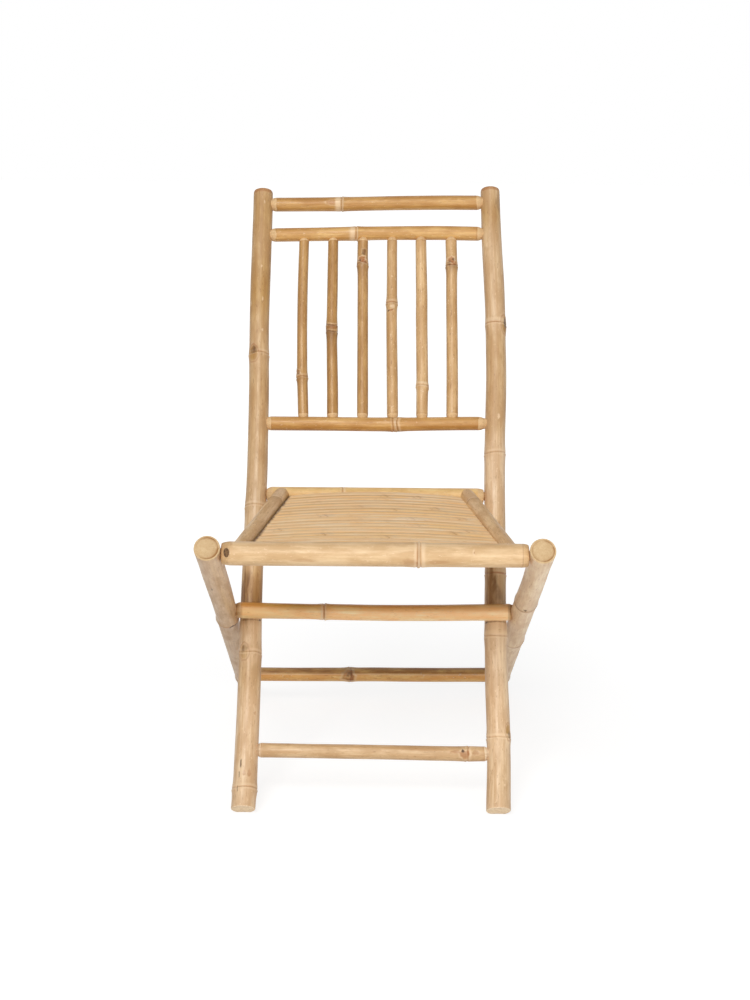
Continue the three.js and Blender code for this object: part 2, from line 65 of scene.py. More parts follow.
def make_camera():
    level_way = math.cos(LOOK_DOWN)
    ahead = Vector((math.sin(LOOK_RIGHT) * level_way, math.cos(LOOK_RIGHT) * level_way, -math.sin(LOOK_DOWN)))
    level = Vector((math.cos(LOOK_RIGHT), -math.sin(LOOK_RIGHT), 0))
    above = level.cross(ahead)
    right = math.cos(TURN) * level + math.sin(TURN) * above
    up = math.cos(TURN) * above - math.sin(TURN) * level
    camera = bpy.data.objects.new("camera", bpy.data.cameras.new("camera"))
    rows = [[right[i], up[i], -ahead[i], CAMERA_PLACE[i]] for i in range(3)]
    camera.matrix_world = Matrix(rows + [[0, 0, 0, 1]])
    camera.data.lens, camera.data.sensor_width = LENS_MM, FILM_MM
    camera.data.clip_start, camera.data.clip_end = 0.01, 100
    bpy.context.collection.objects.link(camera)
    bpy.context.scene.camera = camera


make_camera()
bpy.context.scene.view_settings.view_transform = "Standard"
print("camera at", tuple(round(v, 3) for v in CAMERA_PLACE))

# %% [markdown]
# Every finish is a small network of nodes, and short helpers keep it readable. One adds a node, sets it up and
# joins its inputs. The others stand for the few steps that come again and again.

# %% Helpers that build shader nodes
def new_group(name, inputs, outputs):
    group = bpy.data.node_groups.new(name, "ShaderNodeTree")
    for label, kind, value in inputs:
        socket = group.interface.new_socket(label, in_out="INPUT", socket_type=kind)
        if value is not None:
            socket.default_value = value
    for label, kind in outputs:
        group.interface.new_socket(label, in_out="OUTPUT", socket_type=kind)
    return group, group.nodes.new("NodeGroupInput"), group.nodes.new("NodeGroupOutput")


def put(tree, kind, inputs=None, **settings):
    """Adds a node, sets its properties, and joins or fills its inputs."""
    node = tree.nodes.new(kind)
    for key, value in settings.items():
        setattr(node, key, value)
    for socket, source in (inputs or {}).items():
        if isinstance(source, bpy.types.NodeSocket):
            tree.links.new(source, node.inputs[socket])
        else:
            node.inputs[socket].default_value = source
    return node


def mask_between(tree, source, low, high):
    """A soft mask that is 0 below low and 1 above high."""
    node = put(tree, "ShaderNodeMapRange", {0: source, 1: low, 2: high, 3: 0.0, 4: 1.0})
    node.interpolation_type = "SMOOTHSTEP"
    return node.outputs[0]


def times(tree, a, b):
    return put(tree, "ShaderNodeMath", {0: a, 1: b}, operation="MULTIPLY", use_clamp=True).outputs[0]


def times_plus(tree, a, b, c):
    return put(tree, "ShaderNodeMath", {0: a, 1: b, 2: c}, operation="MULTIPLY_ADD").outputs[0]


def lay_over(tree, mask, under, over):
    """Covers one colour with another where the mask is 1."""
    return put(tree, "ShaderNodeMix", {0: mask, 6: under, 7: over}, data_type="RGBA").outputs[2]


def srgb(r, g, b):
    """A colour as seen on screen, 0 to 255, turned into the linear light that shaders use."""
    linear = [(v / 255) / 12.92 if v / 255 <= 0.04045 else ((v / 255 + 0.055) / 1.055) ** 2.4 for v in (r, g, b)]
    return tuple(linear) + (1,)


print("helpers ready")

# %% [markdown]
# The chair stands in a white studio. White paper could be lit until it burns out, but that light would bleach the
# bamboo too. Instead the floor adds white only for what the camera sees straight on, and keeps a thin share of
# real light, in which the chair's faint shadow shows.

# %% The floor, the white surround and the lamps
FLOOR_SIZE = 60  # metres
FLOOR_GLOW = 0.83  # share of the floor's white that no shadow can take, close to the chair
FLOOR_PAPER = 0.30  # share that takes light and shadow
BOUNCE = (0.88, 0.87, 0.86, 1)  # the paper as the chair sees it
WHITE_FROM, WHITE_TO = 0.4, 1.7  # metres from the chair over which the floor turns fully white
SURROUND_LIGHT, SURROUND_TINT = 0.24, (1, 0.99, 0.975, 1)


def one_or_other(tree, lighting, shown):
    """Shows one shader to rays straight from the camera, or by way of a mirror or glass, and another to the rest."""
    path = put(tree, "ShaderNodeLightPath").outputs
    direct = path["Is Camera Ray"]
    for kind in ("Is Glossy Ray", "Is Transmission Ray"):
        add = put(tree, "ShaderNodeMath", {0: direct, 1: path[kind]}, operation="ADD", use_clamp=True)
        direct = add.outputs[0]
    choice = {0: direct, 1: lighting.outputs[0], 2: shown.outputs[0]}
    return put(tree, "ShaderNodeMixShader", choice).outputs[0]


def make_floor():
    bpy.ops.mesh.primitive_grid_add(x_subdivisions=8, y_subdivisions=8, size=FLOOR_SIZE)
    floor = bpy.context.object
    floor.name = "studio_floor"
    material = bpy.data.materials.new("white_paper")
    material.use_nodes = True
    tree = material.node_tree
    tree.nodes.clear()
    paper = put(tree, "ShaderNodeBsdfDiffuse", {"Color": BOUNCE})
    thin = put(tree, "ShaderNodeBsdfDiffuse", {"Color": (FLOOR_PAPER,) * 3 + (1,)})
    place = put(tree, "ShaderNodeTexCoord").outputs["Object"]
    far = put(tree, "ShaderNodeVectorMath", {0: place}, operation="LENGTH").outputs["Value"]
    fade = {"Value": far, "From Min": WHITE_FROM, "From Max": WHITE_TO, "To Min": FLOOR_GLOW, "To Max": 1.0}
    white = put(tree, "ShaderNodeMapRange", fade, interpolation_type="SMOOTHSTEP").outputs["Result"]
    grey = put(tree, "ShaderNodeCombineColor", dict.fromkeys(("Red", "Green", "Blue"), white)).outputs["Color"]
    glow = put(tree, "ShaderNodeEmission", {"Color": grey, "Strength": 1.0})
    both = put(tree, "ShaderNodeAddShader", {0: thin.outputs[0], 1: glow.outputs[0]})
    put(tree, "ShaderNodeOutputMaterial", {"Surface": one_or_other(tree, paper, both)})
    floor.data.materials.append(material)


def make_surround():
    world = bpy.data.worlds.new("white_surround")
    world.use_nodes = True
    bpy.context.scene.world = world
    tree = world.node_tree
    tree.nodes.clear()
    lit = put(tree, "ShaderNodeBackground", {"Color": SURROUND_TINT, "Strength": SURROUND_LIGHT})
    plain = put(tree, "ShaderNodeBackground", {"Color": (1, 1, 1, 1), "Strength": 1.0})
    put(tree, "ShaderNodeOutputWorld", {"Surface": one_or_other(tree, lit, plain)})


def make_lamp(name, place, target, size, watts):
    data = bpy.data.lights.new(name, "AREA")
    data.size, data.energy = size, watts
    lamp = bpy.data.objects.new(name, data)
    lamp.location = place
    lamp.rotation_euler = (Vector(target) - Vector(place)).to_track_quat("-Z", "Y").to_euler()
    bpy.context.collection.objects.link(lamp)


make_floor()
make_surround()
make_lamp("key_lamp", (-1.4, -5.1, 5.1), (0, 0, 0.45), 3.0, 268)
make_lamp("low_front_lamp", (0.8, -2.4, 0.35), (0, 0, 0.25), 1.6, 24)
print("studio ready")

# %% [markdown]
# Bamboo has one finish that changes along and around each culm: long fibres under a glossy skin, tan mottling,
# pale flecks and brown dashes, a thin brown line at each node, dark branch scars, and bare pale wood where a tool
# cut it. The mesh carries those places as named values on its points, and shader node groups turn them into
# colour. Each group is made once and every bamboo material uses it with values of its own.

# %% The group that draws fibres, mottling, flecks and dashes
PATTERN_ROUGH = 0.58  # how much of each finer layer the noise keeps


def stretched(tree, vector, around, along):
    scale = (around, around, along)
    return put(tree, "ShaderNodeVectorMath", {0: vector, 1: scale}, operation="MULTIPLY").outputs[0]


def make_grain_group():
    group, start, end = new_group(
        "culm_grain",
        [("Place", "NodeSocketVector", None)],
        [(n, "NodeSocketFloat") for n in ("Fibres", "Streaks", "Mottle", "Flecks", "Dashes", "Dots")],
    )
    place = start.outputs["Place"]
    for label, around, along, detail, low, high in (
        ("Fibres", 620, 26, 3, 0.34, 0.66),
        ("Streaks", 240, 8, 4, 0.36, 0.64),
        ("Mottle", 70, 22, 7, 0.38, 0.62),
        ("Flecks", 330, 160, 2, 0.65, 0.69),
        ("Dashes", 560, 100, 2, 0.62, 0.69),
    ):
        inputs = {"Scale": 1.0, "Detail": detail, "Roughness": PATTERN_ROUGH}
        inputs["Vector"] = stretched(group, place, around, along)
        pattern = put(group, "ShaderNodeTexNoise", inputs).outputs[0]
        group.links.new(mask_between(group, pattern, low, high), end.inputs[label])
    cells = put(group, "ShaderNodeTexVoronoi", {"Vector": stretched(group, place, 640, 640), "Scale": 1.0})
    group.links.new(mask_between(group, cells.outputs["Distance"], 0.5, 0.15), end.inputs["Dots"])
    return group


GRAIN = make_grain_group()
print("group:", GRAIN.name)

# %% [markdown]
# The second group lays the marks over the skin in the order in which they lie on a real culm: node lines and
# pale bands first, then stains and scars. The bare cut wood comes after them, because a knife takes all the rest
# away, and dirt comes last, because it settles on everything.

# %% The group that lays marks over the skin
PALE_BAND = srgb(238, 208, 168)
NODE_LINE = srgb(164, 100, 46)
SCAR_BROWN = srgb(92, 62, 34)
STAIN_BROWN = srgb(118, 78, 36)
CUT_WOOD = srgb(236, 200, 150)
CUT_FIBRE = srgb(190, 148, 98)
DIRT_BROWN = srgb(160, 114, 66)
AGED_TINT_AND_SHADE = (0.58, 0.42, 0.13, 1)  # what is left of the skin's light where it has aged most, and where painted shade is deepest


def make_marks_group():
    floats = ("Pale", "Line", "Stain", "Scar", "Cut", "Dirt", "Dots", "Mottle", "Streaks")
    group, start, end = new_group(
        "culm_marks",
        [("Skin", "NodeSocketColor", (0.6, 0.4, 0.2, 1)), ("Cut Wood", "NodeSocketColor", CUT_WOOD)]
        + [(label, "NodeSocketFloat", 0.0) for label in floats],
        [("Colour", "NodeSocketColor"), ("Bare", "NodeSocketFloat")],
    )
    given = start.outputs
    colour = lay_over(group, times(group, given["Pale"], 0.8), given["Skin"], PALE_BAND)
    colour = lay_over(group, given["Line"], colour, NODE_LINE)
    patchy = times_plus(group, given["Mottle"], 0.35, 0.45)
    patchy = times_plus(group, given["Streaks"], 0.35, patchy)
    colour = lay_over(group, times(group, given["Stain"], patchy), colour, STAIN_BROWN)
    colour = lay_over(group, given["Scar"], colour, SCAR_BROWN)
    cut = lay_over(group, times(group, given["Dots"], 0.4), given["Cut Wood"], CUT_FIBRE)
    cut = lay_over(group, times(group, given["Streaks"], 0.25), cut, CUT_FIBRE)
    bare = mask_between(group, given["Cut"], 0.35, 0.65)
    colour = lay_over(group, bare, colour, cut)
    grime = times(group, given["Dirt"], times_plus(group, given["Mottle"], 0.6, 0.6))
    group.links.new(lay_over(group, grime, colour, DIRT_BROWN), end.inputs["Colour"])
    group.links.new(bare, end.inputs["Bare"])
    return group


MARKS = make_marks_group()
print("group:", MARKS.name)

# %% [markdown]
# One function makes every bamboo finish. What differs from culm to culm is the colour of its streaks, how dark
# its mottling has become and how much gloss the skin has kept. The bump is shallow, because bamboo skin is
# smooth to the touch and only its fibres stand out where it has dried.

# %% Materials of the culms
PLACE_NAME = "place_on_culm"
MARK_NAMES = ("pale", "line", "stain", "scar", "cut", "dirt", "shade")
MOTTLE, FIBRES = 0.65, 0.38  # how strongly these two patterns show
DASH_SHARE = (0.52, 0.36, 0.24, 1)  # colour of the brown dashes as a share of the streaks' colour
BARE_ROUGH = 0.75


def read_value(tree, name, output="Fac"):
    node = put(tree, "ShaderNodeAttribute", attribute_type="GEOMETRY", attribute_name=name)
    return node.outputs[output]


def bamboo(name, light, deep, tan, gloss=0.38, flecks=0.8, dashes=0.6, streaks=0.7, cut_wood=CUT_WOOD):
    """A bamboo finish with the colours of its skin, of its streaks and of its mottling, each 0 to 255."""
    light, deep, tan = (srgb(*colour) for colour in (light, deep, tan))
    material = bpy.data.materials.new(name)
    material.use_nodes = True
    tree = material.node_tree
    shader = tree.nodes["Principled BSDF"]
    grain = put(tree, "ShaderNodeGroup", node_tree=GRAIN)
    tree.links.new(read_value(tree, PLACE_NAME, "Vector"), grain.inputs["Place"])
    grain = grain.outputs
    dark = tuple(share * level for share, level in zip(DASH_SHARE, deep))
    skin = lay_over(tree, times(tree, grain["Streaks"], streaks), light, deep)
    skin = lay_over(tree, times(tree, grain["Mottle"], MOTTLE), skin, tan)
    skin = lay_over(tree, times(tree, grain["Fibres"], FIBRES), skin, deep)
    skin = lay_over(tree, times(tree, grain["Dashes"], dashes), skin, dark)
    skin = lay_over(tree, times(tree, grain["Flecks"], flecks), skin, PALE_BAND)
    # the shade value tints aged skin, and in places it is painted shade
    aged = {0: read_value(tree, "shade"), 6: skin, 7: AGED_TINT_AND_SHADE}
    skin = put(tree, "ShaderNodeMix", aged, data_type="RGBA", blend_type="MULTIPLY").outputs[2]
    marks = put(tree, "ShaderNodeGroup", {"Cut Wood": cut_wood}, node_tree=MARKS)
    tree.links.new(skin, marks.inputs["Skin"])
    for label in ("Pale", "Line", "Stain", "Scar", "Cut", "Dirt"):
        tree.links.new(read_value(tree, label.lower()), marks.inputs[label])
    for label in ("Dots", "Mottle", "Streaks"):
        tree.links.new(grain[label], marks.inputs[label])
    tree.links.new(marks.outputs["Colour"], shader.inputs["Base Color"])
    bare = {0: marks.outputs["Bare"], 1: 0.0, 2: 1.0, 3: gloss, 4: BARE_ROUGH}
    rough = put(tree, "ShaderNodeMapRange", bare).outputs[0]
    tree.links.new(times_plus(tree, grain["Mottle"], 0.12, rough), shader.inputs["Roughness"])
    relief = put(tree, "ShaderNodeMath", {0: grain["Fibres"], 1: grain["Streaks"]}, operation="ADD").outputs[0]
    bump = put(tree, "ShaderNodeBump", {"Strength": 0.35, "Distance": 0.00025, "Height": relief})
    tree.links.new(bump.outputs[0], shader.inputs["Normal"])
    return material


PALE_CUT, LEG_CUT, PLUG_CUT = srgb(255, 234, 202), srgb(218, 189, 145), srgb(66, 40, 20)
POST = bamboo("post_bamboo", (246, 219, 182), (214, 175, 132), (201, 162, 120), 0.38, 0.6, 0.4, cut_wood=PALE_CUT)
LEG = bamboo("leg_bamboo", (246, 219, 186), (218, 184, 148), (204, 168, 134), dashes=0.4, cut_wood=LEG_CUT)
PALE_LEG = bamboo("pale_leg_bamboo", (255, 232, 195), (233, 198, 158), (218, 181, 143), dashes=0.4, cut_wood=LEG_CUT)
RAIL = bamboo("rail_bamboo", (241, 199, 131), (203, 147, 75), (189, 133, 65), 0.3, 0.5, 0.3)
STOP = bamboo("stop_bar_bamboo", (255, 234, 184), (255, 206, 144), (255, 190, 126), 0.3, 0.5, 0.3)
SPINDLE = bamboo("spindle_bamboo", (240, 204, 152), (206, 162, 108), (188, 144, 92), 0.34)
DARK_RAIL = bamboo("dark_rail_bamboo", (255, 220, 146), (238, 170, 89), (220, 153, 81), 0.34)
FRONT_RAIL = bamboo("front_rail_bamboo", (240, 208, 163), (218, 180, 131), (200, 158, 108), 0.38, 0.6, 0.15)
REAR_RAIL = bamboo("rear_rail_bamboo", (250, 217, 154), (230, 187, 122), (216, 171, 106), 0.4, 0.6, 0.3)
SIDE_RAIL = bamboo("side_rail_bamboo", (254, 220, 168), (224, 182, 130), (206, 162, 112), 0.4)
SLAT = bamboo("slat_bamboo", (255, 230, 198), (255, 207, 134), (255, 205, 148), 0.45, 0.3, 0.3, 0.95)
STRIP = bamboo("strip_bamboo", (206, 166, 112), (176, 134, 84), (160, 118, 72), 0.6, 0.2, 0.2)
DOWEL = bamboo("dowel_wood", (196, 154, 104), (166, 122, 76), (156, 112, 66), 0.65)
PLUG = bamboo("plug_fibre", (110, 76, 44), (60, 38, 20), (46, 28, 14), 0.85, 0.9, cut_wood=PLUG_CUT)
print("materials:", len(bpy.data.materials))

# %% [markdown]
# Every culm is one tube with closed ends, built ring by ring. A plain cylinder would look turned on a lathe, so
# the rings follow the natural bend, swell and pinch at each node, and are never quite round. Rings lie close
# together at the nodes, the scars and the ends, where the shape changes fast, and far apart in between.

# %% Smooth curves, and where rings are needed
PLAIN_STEP, LEAST_STEP = 8, 0.3  # between two rings
SHARP_ANGLE = math.radians(55)
SCAR_STEPS = np.arange(-0.8, 0.81, 0.08)  # as shares of a scar's height
SMOOTH_REACH = 12  # of the smoothing that turns a table into a curve
# how far a curve runs on past the culm, its points, and how many of them the smoothing takes on each side
CURVE_RUN, CURVE_POINTS, CURVE_TAPS = 0.15, 781, 50
NODE_STEPS = np.concatenate([np.arange(-5, 5.1, 0.5), [-26, -18, -13, -9, -7, 7, 9, 13, 18, 26]])
END_STEPS = (0, 0.35, 0.8, 1.4, 2.2, 3.2, 4.4, 6, 8, 10.5, 13)


def stations(length, nodes, scars, tenon):
    """The places of a culm's rings, from its start."""
    places = [np.arange(0, length, PLAIN_STEP)] + [knot["at"] + NODE_STEPS for knot in nodes]
    places += [mark["at"] + SCAR_STEPS * mark["high"] for mark in scars]
    places += [np.array(END_STEPS), length - np.array(END_STEPS)]
    kept = [0.0]
    for place in np.sort(np.concatenate(places)):
        if place - kept[-1] > LEAST_STEP and length - place > LEAST_STEP:
            kept.append(float(place))
    kept.append(length)
    if tenon:
        kept = [-tenon] + kept + [length + tenon]
    return np.array(kept)


def gentle(table, length, at):
    """Reads a table of (place, value) pairs as one smooth curve that runs on straight past its ends."""
    if not len(table):
        return np.zeros_like(at)
    places, values = np.array(table, float).T
    grid = np.linspace(-CURVE_RUN * length, (1 + CURVE_RUN) * length, CURVE_POINTS)
    curve = np.interp(grid, places, values)
    slopes = np.diff(values) / np.diff(places)
    before, after = grid < places[0], grid > places[-1]
    curve[before] += slopes[0] * (grid[before] - places[0])
    curve[after] += slopes[-1] * (grid[after] - places[-1])
    taps = np.arange(-CURVE_TAPS, CURVE_TAPS + 1) * (grid[1] - grid[0])
    weight = np.exp(-((taps / SMOOTH_REACH) ** 2) / 2)
    curve = np.convolve(curve, weight / weight.sum(), mode="same")
    return np.interp(at, grid, curve)


def wave(rng, angle, count=3, size=1.0):
    """A closed ripple around a culm, the same at 0 and 360 degrees."""
    total = np.zeros_like(angle)
    for turns in range(1, count + 1):
        total += rng.normal(0, size / turns) * np.cos(turns * angle + rng.uniform(0, 2 * math.pi))
    return total


def bell(far, width, power=2):
    """One at nought, fading to nothing on both sides."""
    return np.exp(-((far / width) ** power))


def inside(far, soft=14):
    """One within a mark's outline, where far is 1, and nought outside it."""
    return 1 / (1 + np.exp(np.clip((far - 1) * soft, -60, 60)))


print("curves ready")

# %% [markdown]
# A node is where a leaf sheath sat. It leaves a thin brown ring with a low ridge beside it, a pale waxy band on
# one side and often a dark smudge on the other. Where a branch grew, there is a bud scar: a sunken dark eye with
# an orange rim on a small swelling.

# %% Nodes and scars
NODE_SWELL = 0.045  # of the radius
STAIN_FADE = 30  # millimetres
# what a node and a scar are like where nothing else is said
NODE = {"swell": 1, "strength": 1, "reach": 9, "wavy": 1, "side": 1}
NODE |= {"line": 0.8, "thick": 1.05, "pale": 0.7, "band": 2.2, "smudge": (0, 1)}
SCAR = {"halo": 0.3, "rim": 0, "rise": 0.2, "sink": 0.4, "uneven": 1, "clear": 0, "bud": False}
FLAT = {"halo": 0, "rise": 0, "sink": 0}  # a mark without relief


def node(at, **look):
    return {**NODE, "at": at, **look}


def scar(at, turn, wide, high, dark, mark="scar", **look):
    """A mark at a place along the culm and an angle around it in degrees, with its size and strength."""
    return {**SCAR, "at": at, "turn": turn, "wide": wide, "high": high, "dark": dark, "mark": mark, **look}


def scuff(at, turn, wide, high, dark, halo, rise):
    """Skin rubbed brown, with a pale and raised edge."""
    return scar(at, turn, wide, high, dark, "line", halo=halo, rise=rise)


def speck(at, turn, wide, high, dark):
    """A pale spot."""
    return scar(at, turn, wide, high, dark, "pale", halo=0, sink=0)


def slit(at, turn, wide, high, dark):
    """A dark scratch or crack."""
    return scar(at, turn, wide, high, dark, halo=0, rise=0)


def shape_node(knot, Z, T, radius, shape, marks, rng):
    ring = knot["at"] + 0.6 * wave(rng, T, 3) * knot["wavy"]
    d = (Z - ring) * knot["side"]
    strength, line, pale, band = knot["strength"], knot["line"], knot["pale"], knot["band"]
    shape += radius * NODE_SWELL * knot["swell"] * bell(d, knot["reach"])
    shape -= strength * 0.55 * bell(d, 0.9)
    shape += strength * 0.4 * bell(d + 2.2, 1.4)
    broken = np.clip(0.75 + 0.3 * wave(rng, T, 4, 0.8), 0.1, 1)
    marks["line"] += line * broken * bell(d, knot["thick"])
    marks["line"] += 0.25 * line * np.clip(wave(rng, T, 6), 0, 1) * bell(d - 1, 5)
    marks["pale"] += pale * bell(np.abs(d - band - 0.6), band, 3)
    marks["pale"] += pale * 0.8 * bell(d + 2.3, 1.3)
    depth, fade = knot["smudge"]
    ragged = d + 1.2 * wave(rng, T, 5)
    marks["stain"] += depth * np.exp(np.clip(ragged / fade, -60, 0)) * (ragged < 0)


def shape_scar(spot, Z, T, radius, shape, marks):
    around = (T - math.radians(spot["turn"]) + math.pi) % (2 * math.pi) - math.pi
    u, v = around * radius / (spot["wide"] / 2), (Z - spot["at"]) / (spot["high"] / 2)
    way = np.arctan2(v, u)
    uneven = 0.13 * np.sin(3 * way + spot["at"]) + 0.08 * np.sin(7 * way)
    far = np.sqrt(u**2 + v**2) * (1 + spot["uneven"] * uneven)
    marks["line"] *= 1 - spot["clear"] * inside(far)
    if spot["bud"]:
        swirl = 0.55 + 0.45 * np.sin(7 * far + way + spot["at"])
        marks["scar"] += spot["dark"] * swirl * inside(far / 0.45, 7)
        marks["line"] += (0.75 * bell(far - 0.72, 0.2) + 0.35 * inside(far / 0.7)) * (0.6 + 0.4 * swirl)
        marks["stain"] += 0.35 * inside(far / 0.75) * swirl
        marks["pale"] += 0.6 * bell(far - 1.1, 0.2)
        shape += spot["rise"] * bell(far - 0.8, 0.4) - 0.6 * inside(far / 0.42, 8)
    else:
        core, rim = inside(far / 0.8), bell(far - 1, 0.22)
        marks[spot["mark"]] += spot["dark"] * core
        marks["pale"] += spot["halo"] * rim
        marks["line"] += spot["rim"] * bell(far - 1, 0.09)
        shape += spot["rise"] * rim - spot["sink"] * core


def shape_stain(stain, Z, T, marks, rng):
    low, high, depth, soft = stain
    edge = 2.5 * wave(rng, T, 4)
    below, above = 1 - (Z - low + edge) / STAIN_FADE, 1 + (Z - high + edge) / STAIN_FADE
    marks["stain"] += depth * inside(below, STAIN_FADE / 2.5) * inside(above, STAIN_FADE / soft)


print("nodes ready")

# %% [markdown]
# A culm ends in one of two ways. A saw leaves a flat face with a slightly broken edge. A knife leaves a blunt
# point that fits a round hole: the skin is gone there, its edge is ragged, and a hidden tenon runs on inward.
# The flat faces are built from rings too, so that the wall of the culm and its softer middle can differ.

# %% The tube that every culm is made of
# rings of a flat face: share of the rim's size, height above it, dirt
PLAIN_FACE = [(0.95, 0.15, 0), (0.86, 0.2, 0), (0.65, 0.2, 0.04), (0.4, 0.15, 0.1), (0.15, 0.1, 0.12)]
LEG_FACE = [(0.97, 0.2, 0), (0.93, 0.22, 0), (0.905, 0.15, 0.8), (0.87, -0.15, 1), (0.83, -0.2, 0.9)]
LEG_FACE += [(0.77, -0.05, 0.42), (0.68, 0, 0.2), (0.5, 0.1, 0.16), (0.3, 0.2, 0.14), (0.1, 0.25, 0.12)]
FOOT_FACE = [(0.96, 0.1, 0), (0.9, 0.12, 0.2), (0.84, 0.12, 0), (0.6, 0.1, 0), (0.35, 0.1, 0.05), (0.12, 0.1, 0.1)]
SAWN, WHITTLED = ("sawn", "sawn"), ("whittled", "whittled")
TENON_GIRTH = 0.66  # as a share of the culm's
OVAL, RIPPLE = 0.006, 0.004  # how far a culm is from round and from even
GRAIN_SPREAD = 900  # millimetres, so that no two culms share a piece of the grain


def shape_end(kind, reach, T, radius, shape, marks, rng, whittle, neck, edge, lean, grime):
    """Works on one end, where reach is the distance inward from it."""
    if kind == "sawn":
        broken_edge = np.clip(reach / (2.6 * (1 - edge) * radius), 0, 1)
        shape *= edge + (1 - edge) * np.sqrt(1 - (1 - broken_edge) ** 2)
        marks["cut"] += np.clip(1.2 - reach / 0.8, 0, 1)
        return
    along = np.clip(reach / whittle, 0, 1)
    shape *= np.where(reach < 0, TENON_GIRTH, neck + (1 - neck) * np.sin(along * math.pi / 2) ** 0.8)
    ragged = whittle * (0.86 + 0.1 * wave(rng, T, 4, 0.7) + lean * (np.sin(T) - 0.4))
    marks["cut"] += inside(1 + (reach - ragged) / 10, 10 / 0.35)
    marks["dirt"] += grime * inside(1 + (reach - ragged) / 10, 10 / 0.8)
    marks["dirt"] += 0.9 * grime * bell(reach, 1.6)
    marks["line"] += 0.4 * bell(reach - ragged - 0.9, 0.7)


def tube(
    name, place, length, girth, nodes=(), bow=(), bend=(), ends=SAWN, scars=(), stains=(), shades=(), tenon=0,
    whittle=(9, 9), neck=(0.74, 0.74), edge=(0.95, 0.95), lean=(0, 0), grime=(0.12, 0.12), weathered=(0, 0),
    faces=(PLAIN_FACE, PLAIN_FACE), sides=64, seed=1, on_floor=False,
):
    """Builds a culm along local z, all lengths in millimetres. girth is a table of its radius; bow and bend are
    tables of its sideways shift; shades is a table of how much its skin has aged, and in places of painted shade;
    the pair after grime gives the angle of one side and how far painted shade darkens it."""
    rng = np.random.default_rng(seed)
    z = stations(length, nodes, scars, tenon)
    angle = np.linspace(0, 2 * math.pi, sides, endpoint=False)
    Z, T = np.meshgrid(z, angle, indexing="ij")
    on_culm = np.clip(Z, 0, length)
    radius = gentle(girth, length, on_culm)
    marks = {label: np.zeros_like(Z) for label in MARK_NAMES}
    marks["shade"] += gentle(shades, length, on_culm)
    # painted shade: one side of the culm, its top or its underside, is darkened as if shaded
    marks["shade"] += weathered[1] * np.clip(np.cos(T - math.radians(weathered[0])), 0, 1) ** 2
    shape = radius * (1 + OVAL * wave(rng, T, 3) + RIPPLE * np.sin(Z / 21 + T) * np.sin(Z / 47))
    for knot in nodes:
        shape_node(knot, Z, T, radius, shape, marks, rng)
    for spot in scars:
        shape_scar(spot, Z, T, radius, shape, marks)
    for stain in stains:
        shape_stain(stain, Z, T, marks, rng)
    for k, reach in enumerate((Z, length - Z)):
        ready = whittle[k], neck[k], edge[k], lean[k], grime[k]
        shape_end(ends[k], reach, T, radius, shape, marks, rng, *ready)
    shift_x, shift_y = gentle(bow, length, z), gentle(bend, length, z)
    slope = np.gradient(shift_y, z)
    out_x, out_y = shape * np.cos(T), shape * np.sin(T)
    points = np.stack([shift_x[:, None] + out_x, shift_y[:, None] + out_y, Z - slope[:, None] * out_y], -1)
    where = np.stack([radius * np.cos(T), radius * np.sin(T), Z], -1) + rng.uniform(-GRAIN_SPREAD, GRAIN_SPREAD, 3)
    return close_tube(name, place, points, where, marks, faces, rng, on_floor)


def close_tube(name, place, points, where, marks, end_faces, rng, on_floor):
    """Joins the rings, closes both ends with faces of their own and makes the mesh."""
    rows, sides = points.shape[:2]
    verts, coords = [points.reshape(-1, 3)], [where.reshape(-1, 3)]
    values = {label: [mark.reshape(-1)] for label, mark in marks.items()}
    ring = np.arange(sides)
    after = (ring + 1) % sides
    quads = []

    def join(low, high):
        quads.append(np.stack([low + ring, low + after, high + after, high + ring], 1))

    for row in range(rows - 1):
        join(row * sides, (row + 1) * sides)
    count, caps = rows * sides, []
    for row, outward, face in ((0, -1, end_faces[0]), (rows - 1, 1, end_faces[1])):
        rim, previous = points[row], row * sides
        middle = rim.mean(0)
        axis = np.cross(rim[0] - middle, rim[sides // 4] - middle)
        axis *= outward / np.linalg.norm(axis)
        uneven = np.clip(0.75 + 0.5 * wave(rng, np.linspace(0, 2 * math.pi, sides, endpoint=False), 3), 0, 1.6)
        for share, lift, dirt in face:
            verts.append(middle + (rim - middle) * share + axis * (lift + rng.normal(0, 0.03, sides))[:, None])
            coords.append(where[row] * share + where[row].mean(0) * (1 - share))
            for label in values:
                level = {"cut": np.ones(sides), "dirt": dirt * uneven}.get(label, np.zeros(sides))
                values[label].append(level)
            join(*((count, previous) if outward < 0 else (previous, count)))
            previous = count
            count += sides
        caps.append(tuple(range(previous, previous + sides))[:: -1 if outward < 0 else 1])
    world = (np.concatenate(verts) * MM) @ np.array(place.to_3x3()).T + np.array(place.translation)
    if on_floor:
        world[:, 2] = np.maximum(world[:, 2], 0)
    mesh = bpy.data.meshes.new(name)
    mesh.from_pydata(world.tolist(), [], np.concatenate(quads).tolist() + caps)
    return dress_mesh(mesh, np.concatenate(coords), {label: np.concatenate(v) for label, v in values.items()})


def dress_mesh(mesh, coords, values):
    """Stores the grain's place and the marks on the mesh's points, and makes the piece."""
    vectors = mesh.attributes.new(PLACE_NAME, "FLOAT_VECTOR", "POINT")
    vectors.data.foreach_set("vector", np.ascontiguousarray(coords * MM, dtype=np.float32).ravel())
    for label, numbers in values.items():
        layer = mesh.attributes.new(label, "FLOAT", "POINT")
        layer.data.foreach_set("value", np.clip(numbers, 0, 1).astype(np.float32))
    mesh.shade_smooth()
    mesh.set_sharp_from_angle(angle=SHARP_ANGLE)
    piece = bpy.data.objects.new(mesh.name, mesh)
    bpy.context.collection.objects.link(piece)
    return piece


def finish_piece(piece, material, body, node):
    """Gives a piece its finish and its body, and hides the imported part that it replaces."""
    piece.data.materials.append(material)
    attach(piece, body)
    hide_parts(node)


print("tube builder ready")

